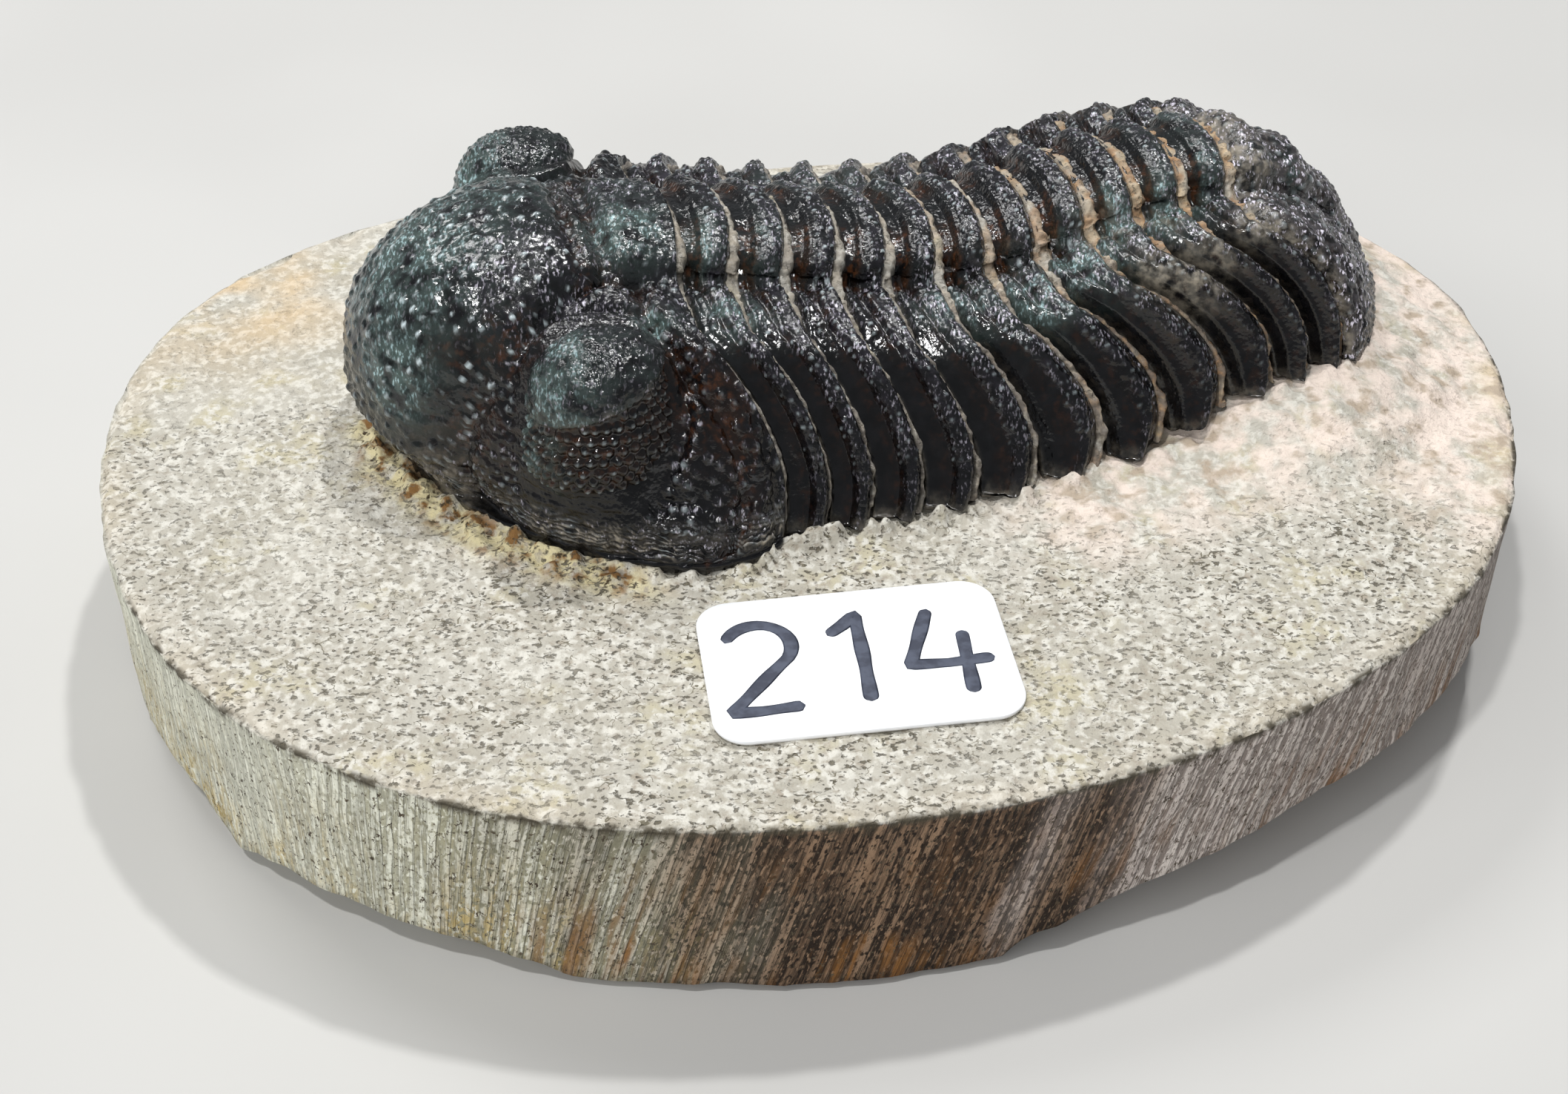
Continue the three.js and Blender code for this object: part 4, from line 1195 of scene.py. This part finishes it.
# %% Slab outline
# Lobes of the oval, each with its size and the direction that it points in, in degrees.
OUTLINE_LOBES = [(1, 0.031, 84), (2, 0.051, 46), (3, 0.035, 34), (4, 0.022, -39)]
NEAR_CORNER_TOWARD, NEAR_CORNER_HALF, NEAR_CORNER_SWELL = -20, 22, 0.027
# Chips of the bottom rim: direction and half width in degrees, and height.
RIM_CHIPS = [
    (-40, 34, 4.6), (-64, 12, 2.4), (-122, 15, 1.9), (-146, 10, 2.7),
    (168, 28, 2.2), (95, 34, 3.2), (32, 28, 3.8),
]


def degrees_from(toward, angle):
    return (np.degrees(angle) - toward + 180) % 360 - 180


def raw_outline(angle):
    waves = (size * np.cos(lobes * (angle - math.radians(toward))) for lobes, size, toward in OUTLINE_LOBES)
    reach = 1 + sum(waves)
    return np.stack([SLAB_LENGTH * reach * np.cos(angle), SLAB_WIDTH * reach * np.sin(angle)], axis=-1)


drawn = raw_outline(np.linspace(0, 2 * math.pi, 720, endpoint=False))
outline_middle = (drawn.min(axis=0) + drawn.max(axis=0)) / 2
outline_size = drawn.max(axis=0) - drawn.min(axis=0)


def slab_outline(angle):
    swell = 1 + NEAR_CORNER_SWELL * bump(degrees_from(NEAR_CORNER_TOWARD, angle) / NEAR_CORNER_HALF)
    fitted = (raw_outline(angle) - outline_middle) * np.array([SLAB_LENGTH, SLAB_WIDTH]) / outline_size
    return fitted * swell[..., None]


def rim_height(angle):
    """Height of the broken bottom rim."""
    height = np.full_like(angle, 0.35)
    for toward, half, chip in RIM_CHIPS:
        away = np.abs(degrees_from(toward, angle)) / half
        height = np.maximum(height, chip * np.sqrt(np.maximum(0, 1 - away**3)))
    return height + 0.12 * np.sin(angle * 23) * np.sin(angle * 9 + 1)


# %% Where the fossil's edge runs
def footprint():
    """Points along the line where the shell meets the slab, in the row frame."""
    across = np.linspace(-1, 1, 300) * HEAD_HALF_WIDTH
    margin = np.stack([head_margin(across), across], axis=-1)
    reach = body_half_width(0)
    genal = [
        (HEAD_WIDEST_AT + GENAL_CORNER * math.sin(a), s * (reach + (HEAD_HALF_WIDTH - reach) * math.cos(a)))
        for s in (-1, 1)
        for a in np.linspace(0, 1.5, 12)
    ]
    seams = np.linspace(0, SEGMENTS, 300)
    tips = [body_point(seams, np.full_like(seams, share))[:, :2] for share in (-1.0, 1.0)]
    shares = np.linspace(-1, 1, 200)
    rear = tail_point(np.ones_like(shares), shares)[:, :2]
    flat = np.concatenate([margin, np.array(genal), *tips, rear])
    return on_slab(np.concatenate([flat, np.zeros((len(flat), 1))], axis=1))[:, :2]


def distance_to(line, points):
    tree = KDTree(len(line))
    for i, place in enumerate(line):
        tree.insert((*place, 0), i)
    tree.balance()
    flat = points.reshape(-1, 2)
    return np.array([tree.find((x, y, 0))[2] for x, y in flat]).reshape(points.shape[:-1])


# %% Top face relief
def mound_height(u, v):
    spread = np.hypot((u - 46) / 13.5, v / 17.5)
    falling = profile(spread, [(0, 1), (1, 1), (1.12, 0.55), (1.3, 0)])
    return (rest_level(u) - SEAM_GAP) * falling


def top_relief(xy, away):
    """Height over the flat top face, and where the rock is rough beside the rear tips."""
    u, v = on_body(xy[..., 0], xy[..., 1])
    flat = np.concatenate([xy, np.zeros(xy.shape[:-1] + (1,))], axis=-1)
    rough = smoothstep(u, 20, 30) * (1 - smoothstep(u, 60, 66)) * (1 - smoothstep(away, 3, 11)) * (v < 0)
    ragged = np.clip(0.5 + 0.8 * lumps(flat, 1.1, 81, 3), 0, 1.05)
    behind_head = smoothstep(u, 6, 9) * (v < 0)
    fillet = (0.6 + 0.55 * behind_head) * (1 - 0.5 * rough) * ragged * bump(away / 0.7)
    before_head = (1 - smoothstep(u, -3, 2)) * (v < 2)
    ledge = before_head * (0.35 + 0.5 * lumps(flat, 0.9, 82, 3)) * bump((away - 0.9) / 1.1)
    clear = 1 - smoothstep(u - head_margin(v), 0.1, 0.6) * (u < 4)
    waves = 0.1 * lumps(flat, 9, 83, 2) + 0.12 * lumps(flat, 1.5, 85, 2)
    broken = rough * (0.24 * lumps(flat, 3.5, 87, 3) + 0.2 - 0.3 * np.abs(lumps(flat, 2.2, 88, 3)))
    pits = 0.22 * smoothstep(lumps(flat * np.array([1, 1.4, 1]), 0.75, 89, 2), 0.55, 1.0)
    return mound_height(u, v) + (fillet + ledge) * clear + waves + broken - pits * (1 - rough), rough


# %% Slab rings
SLAB_COLUMNS = 520
# Rings of the underside: their share of the outline, and of the rim's height.
BOTTOM_RINGS = [(0.4, 0.0), (0.78, 0.0), (0.9, 0.35), (0.975, 0.85)]
WALL_RINGS, TOP_RINGS = 26, 150
FIRST_TOP_RING = len(BOTTOM_RINGS) + WALL_RINGS


def slab_rings(rim):
    """Each ring's share of the outline, and its height."""
    shares = [np.full((1, SLAB_COLUMNS), share) for share, _ in BOTTOM_RINGS]
    heights = [rim * part for _, part in BOTTOM_RINGS]
    wall_rise = 1 - (1 - np.linspace(0, 1, WALL_RINGS)[:, None]) ** 1.4
    shares.append(np.ones((WALL_RINGS, SLAB_COLUMNS)))
    heights.append(lerp(rim + 0.3, SLAB_HEIGHT - 0.3, wall_rise))
    shares.append(np.linspace(0.996, 0.3, TOP_RINGS)[:, None] * np.ones((1, SLAB_COLUMNS)))
    heights.append(np.full((TOP_RINGS, SLAB_COLUMNS), SLAB_HEIGHT))
    return np.concatenate(shares), np.concatenate(heights)


angle = (math.pi / 2 + np.linspace(0, 2 * math.pi, SLAB_COLUMNS, endpoint=False))[None, :]
outline = slab_outline(angle)
rim = rim_height(angle)
share, level = slab_rings(rim)
ring_number = np.arange(len(share))[:, None]
is_top = ring_number >= FIRST_TOP_RING
is_wall = (ring_number >= len(BOTTOM_RINGS)) & ~is_top
print("slab rings and columns:", share.shape, "rim up to", rim.max().round(1), "mm")

# %% Slab top face
FAR = 99.0
xy = share[..., None] * outline
away = np.full(share.shape, FAR)
away[FIRST_TOP_RING:] = distance_to(footprint(), xy[FIRST_TOP_RING:])
relief, rough = top_relief(xy, away)
rounded = 0.25 * bump((share - 0.996) / 0.004)
chipped = 0.5 * smoothstep(lumps(np.concatenate([xy, level[..., None]], axis=-1), 2.2, 91, 2), 0.45, 1)
to_rim = smoothstep(share, 0.93, 0.99)
level = level + is_top * (relief * (1 - 0.8 * to_rim) - rounded - chipped * to_rim)
block = np.concatenate([xy, level[..., None]], axis=-1)
print("relief of the top face, mm:", relief[FIRST_TOP_RING:].min().round(1), relief.max().round(1))

# %% Slab wall
# The saw's lines lean to the right on the near side. `cut` follows them round the slab.
SAW_LEAN = 0.28
MIDDLE_REACH = 40
run = np.cumsum(np.linalg.norm(np.diff(outline, axis=1, append=outline[:, :1]), axis=-1), axis=1)
cut = run - SAW_LEAN * smoothstep(block[..., 0], -35, -5) * level
sawn = np.stack([cut, level * 0.05, 0 * cut], axis=-1)
push = (0.1 * lumps(block, 4, 93, 3) + 0.09 * lumps(sawn, 1.4, 94, 2)) * is_wall
push = push + 0.12 * lumps(block, 2.5, 95, 2) * (level < rim + 0.8) * ~is_top
block[..., :2] *= (1 + push / MIDDLE_REACH)[..., None]
block[..., 2] = np.maximum(block[..., 2], 0)

# %% Slab piece
u, v = on_body(block[..., 0], block[..., 1])
head_side = 1 - smoothstep(u, -2, 3)
calm = np.maximum(rough, smoothstep(u, 44, 54) * smoothstep(v, -34, -27))
dense = 0.75 + 0.25 * smoothstep(block[..., 0], -32, -6)
warm_corner = 0.7 * bump(np.hypot(xy[..., 0] + 41, xy[..., 1] - 16) / 7)
slab_masks = {
    "wall": ~is_top * smoothstep(SLAB_HEIGHT - level, 0.2, 0.5),
    "around": cut,
    "pitted": is_top * (1 - 0.85 * calm) * (0.35 + 0.65 * (v < 5)) * dense,
    "stain": is_top * head_side * (v < 2) * 1.3 * bump((away - 1.1) / 1.4),
    "orange": np.zeros(share.shape),
    "warm": is_top * (warm_corner + (0.1 + 0.35 * calm) * to_rim),
    "dim": np.zeros(share.shape),
    "pink": is_top * calm,
    "edge": bump((level - SLAB_HEIGHT + 0.4) / 0.36) * (share > 0.993) * smoothstep(-v, 0, 15),
}
make_piece("limestone_slab", block, limestone, slab_masks, ["matrix"])


# %% [markdown]
# The label is a smooth white coated sticker with round corners, a little wavy because the stone under it is
# rough. It could be a subdivided plane, but its round corners are easier to draw as rings of points round
# one outline. Its number is written with a felt pen, whose ink bleeds into a stroke about 0.8 mm wide with
# round ends. The strokes are thin raised ribbons, because a picture of them would need an image.

# %% Paper and ink
# Paper fibres are about 0.03 mm wide. They are drawn ten times coarser, so that they show.
FIBRE = 0.3


def paper_material():
    m = new_material("coated white label paper")
    place = millimetres(m)
    base = layered(m, "#e9ebee", ("#f4f5f6", mottle(m, place, 3.0, 0.3, 0.7, 3)))
    relief = add(m, "Bump", {3: blotches(m, place, FIBRE, 3.0)}, in00=0.2, in01=0.02 * MM).outputs[0]
    paper = add(m, "BsdfPrincipled", {0: base, 5: relief}, in02=0.5)
    add(m, "OutputMaterial", {0: paper.outputs[0]})
    return m


def ink_material():
    m = new_material("dark blue felt-pen ink")
    place = millimetres(m)
    base = layered(m, "#2c3141", ("#454b5b", mottle(m, place, 0.8, 0.35, 0.65, 3)))
    ink = add(m, "BsdfPrincipled", {0: base}, in02=0.6)
    add(m, "OutputMaterial", {0: ink.outputs[0]})
    return m


# %% Paper label
LABEL_SIZE = (18, 12)
LABEL_CORNER = 2
LABEL_AT = (2.2, -23.4)
LABEL_TURN = math.radians(8.2)
LABEL_BASE, LABEL_THICKNESS = SLAB_HEIGHT + 0.1, 0.3
# Rings from the edge inwards: their share of the outline, and their height over the face.
LABEL_RINGS = [(0.995, -LABEL_THICKNESS), (1, -0.2), (1, -0.04), (0.994, 0)]
LABEL_RINGS += [(share, 0) for share in (0.9, 0.7, 0.5, 0.3, 0.1)]


def on_label(xy, rise):
    """A place on the label, rise mm over its wavy face, in the row frame."""
    cos, sin = math.cos(LABEL_TURN), math.sin(LABEL_TURN)
    x = LABEL_AT[0] + xy[..., 0] * cos - xy[..., 1] * sin
    y = LABEL_AT[1] + xy[..., 0] * sin + xy[..., 1] * cos
    wave = 0.06 * lumps(np.stack([x, y, 0 * x], axis=-1), 7, 97)
    return np.stack([x, y, LABEL_BASE + LABEL_THICKNESS + wave + rise], axis=-1)


def make_label():
    half = np.array(LABEL_SIZE) / 2 - LABEL_CORNER
    corners = []
    for start, sign in enumerate([(1, 1), (-1, 1), (-1, -1), (1, -1)]):
        turn = math.radians(90 * start) + np.linspace(0, math.pi / 2, 12)
        corners.append(half * np.array(sign) + LABEL_CORNER * np.stack([np.cos(turn), np.sin(turn)], axis=-1))
    edge = np.concatenate(corners)
    rings = np.stack([on_label(edge * share, rise) for share, rise in LABEL_RINGS])
    make_piece("paper_label_sheet", rings, paper_material(), {}, ["label"])


make_label()


# %% Written number
STROKE_WIDTH = 0.86
NUMBER_SCALE = 1.13


def arc(cx, cy, radius, start, end, count=16):
    turn = np.radians(np.linspace(start, end, count))
    return [(cx + radius * math.cos(a), cy + radius * math.sin(a)) for a in turn]


# A two, a one, and the two strokes of a four.
STROKES = [
    arc(-5.0, 1.5, 1.75, 160, -35) + [(-4.6, -0.6), (-6.0, -2.2), (-6.9, -3.2), (-5.4, -3.25), (-3.2, -3.1)],
    [(-1.3, 1.9), (-0.4, 2.6), (0.35, 3.3), (0.3, 0.0), (0.15, -3.3)],
    [(4.2, 3.3), (3.4, 1.2), (2.6, -0.9), (4.6, -1.0), (7.0, -0.85)],
    [(5.7, 1.4), (5.55, -1.0), (5.4, -3.4)],
]


def stroke_rings(points):
    """A flat ribbon along a pen stroke, as rings of eight points with round ends."""
    line = NUMBER_SCALE * respaced(np.array(points, float)[None], 70)[0]
    ahead = np.gradient(line, axis=0)
    ahead /= np.linalg.norm(ahead, axis=-1, keepdims=True)
    left = np.stack([-ahead[:, 1], ahead[:, 0]], axis=-1)
    run = np.linspace(0, np.sum(np.linalg.norm(np.diff(line, axis=0), axis=-1)), len(line))
    to_end = np.minimum(run, run[-1] - run) / (STROKE_WIDTH / 2)
    half = STROKE_WIDTH / 2 * np.sqrt(np.clip(1 - (1 - np.minimum(to_end, 1)) ** 2, 0.01, 1))
    half = half * (1 + 0.08 * np.sin(run * 1.7 + line[0, 0]))
    turn = np.linspace(0, 2 * math.pi, 8, endpoint=False)
    offset = half[:, None] * np.cos(turn)
    rise = 0.012 + 0.02 * np.sin(turn)[None, :] * np.minimum(1, half[:, None] / 0.3)
    return on_label(line[:, None] + left[:, None] * offset[..., None], rise)


ink = ink_material()
for number, points in enumerate(STROKES, start=1):
    make_piece(f"label_ink_{number}", stroke_rings(points), ink, {})


# %% [markdown]
# The studio is plain: a pale floor that fades into a pale room, one large soft light from the upper left,
# one softer from the front that the shell doesn't mirror, so that its black stays deep, and two small ones
# that give the glossy shell its points of light. One large light alone would be simpler, but the knobs and
# ridges of the real shell sparkle, and only a small light does that.

# %% Floor
def floor_material():
    m = new_material("matt pale paper backdrop")
    place = millimetres(m)
    base = layered(m, "#b9b8b5", ("#bfbebb", mottle(m, place, 60, 0.3, 0.7)))
    surface = add(m, "BsdfPrincipled", {0: base}, in02=0.9)
    add(m, "OutputMaterial", {0: surface.outputs[0]})
    return m


bpy.ops.mesh.primitive_plane_add(size=4)
floor = bpy.context.active_object
floor.name = "floor"
floor.data.materials.append(floor_material())


# %% Lights
def area_light(name, place, size, power):
    """A square soft light, aimed at the middle of the slab."""
    data = bpy.data.lights.new(name, "AREA")
    data.energy = power
    data.size = size
    light = bpy.data.objects.new(name, data)
    light.location = place
    light.rotation_euler = (-Vector(place)).to_track_quat("-Z", "Y").to_euler()
    light.visible_camera = False
    bpy.context.collection.objects.link(light)
    return light


area_light("window", (-0.35, 0.45, 0.75), 0.3, 3)
area_light("fill", (-0.45, -0.65, 0.4), 0.9, 5.5).visible_glossy = False
area_light("lamp_left", (-0.2, -0.2, 0.8), 0.04, 2.8)
area_light("lamp_right", (0.15, 0.3, 0.75), 0.04, 3.2)
world = bpy.data.worlds.new("pale room")
world.use_nodes = True
world.node_tree.nodes["Background"].inputs[0].default_value = colour("#dfe3e8")
world.node_tree.nodes["Background"].inputs[1].default_value = 0.3
bpy.context.scene.world = world
bpy.context.scene.view_settings.view_transform = "Standard"
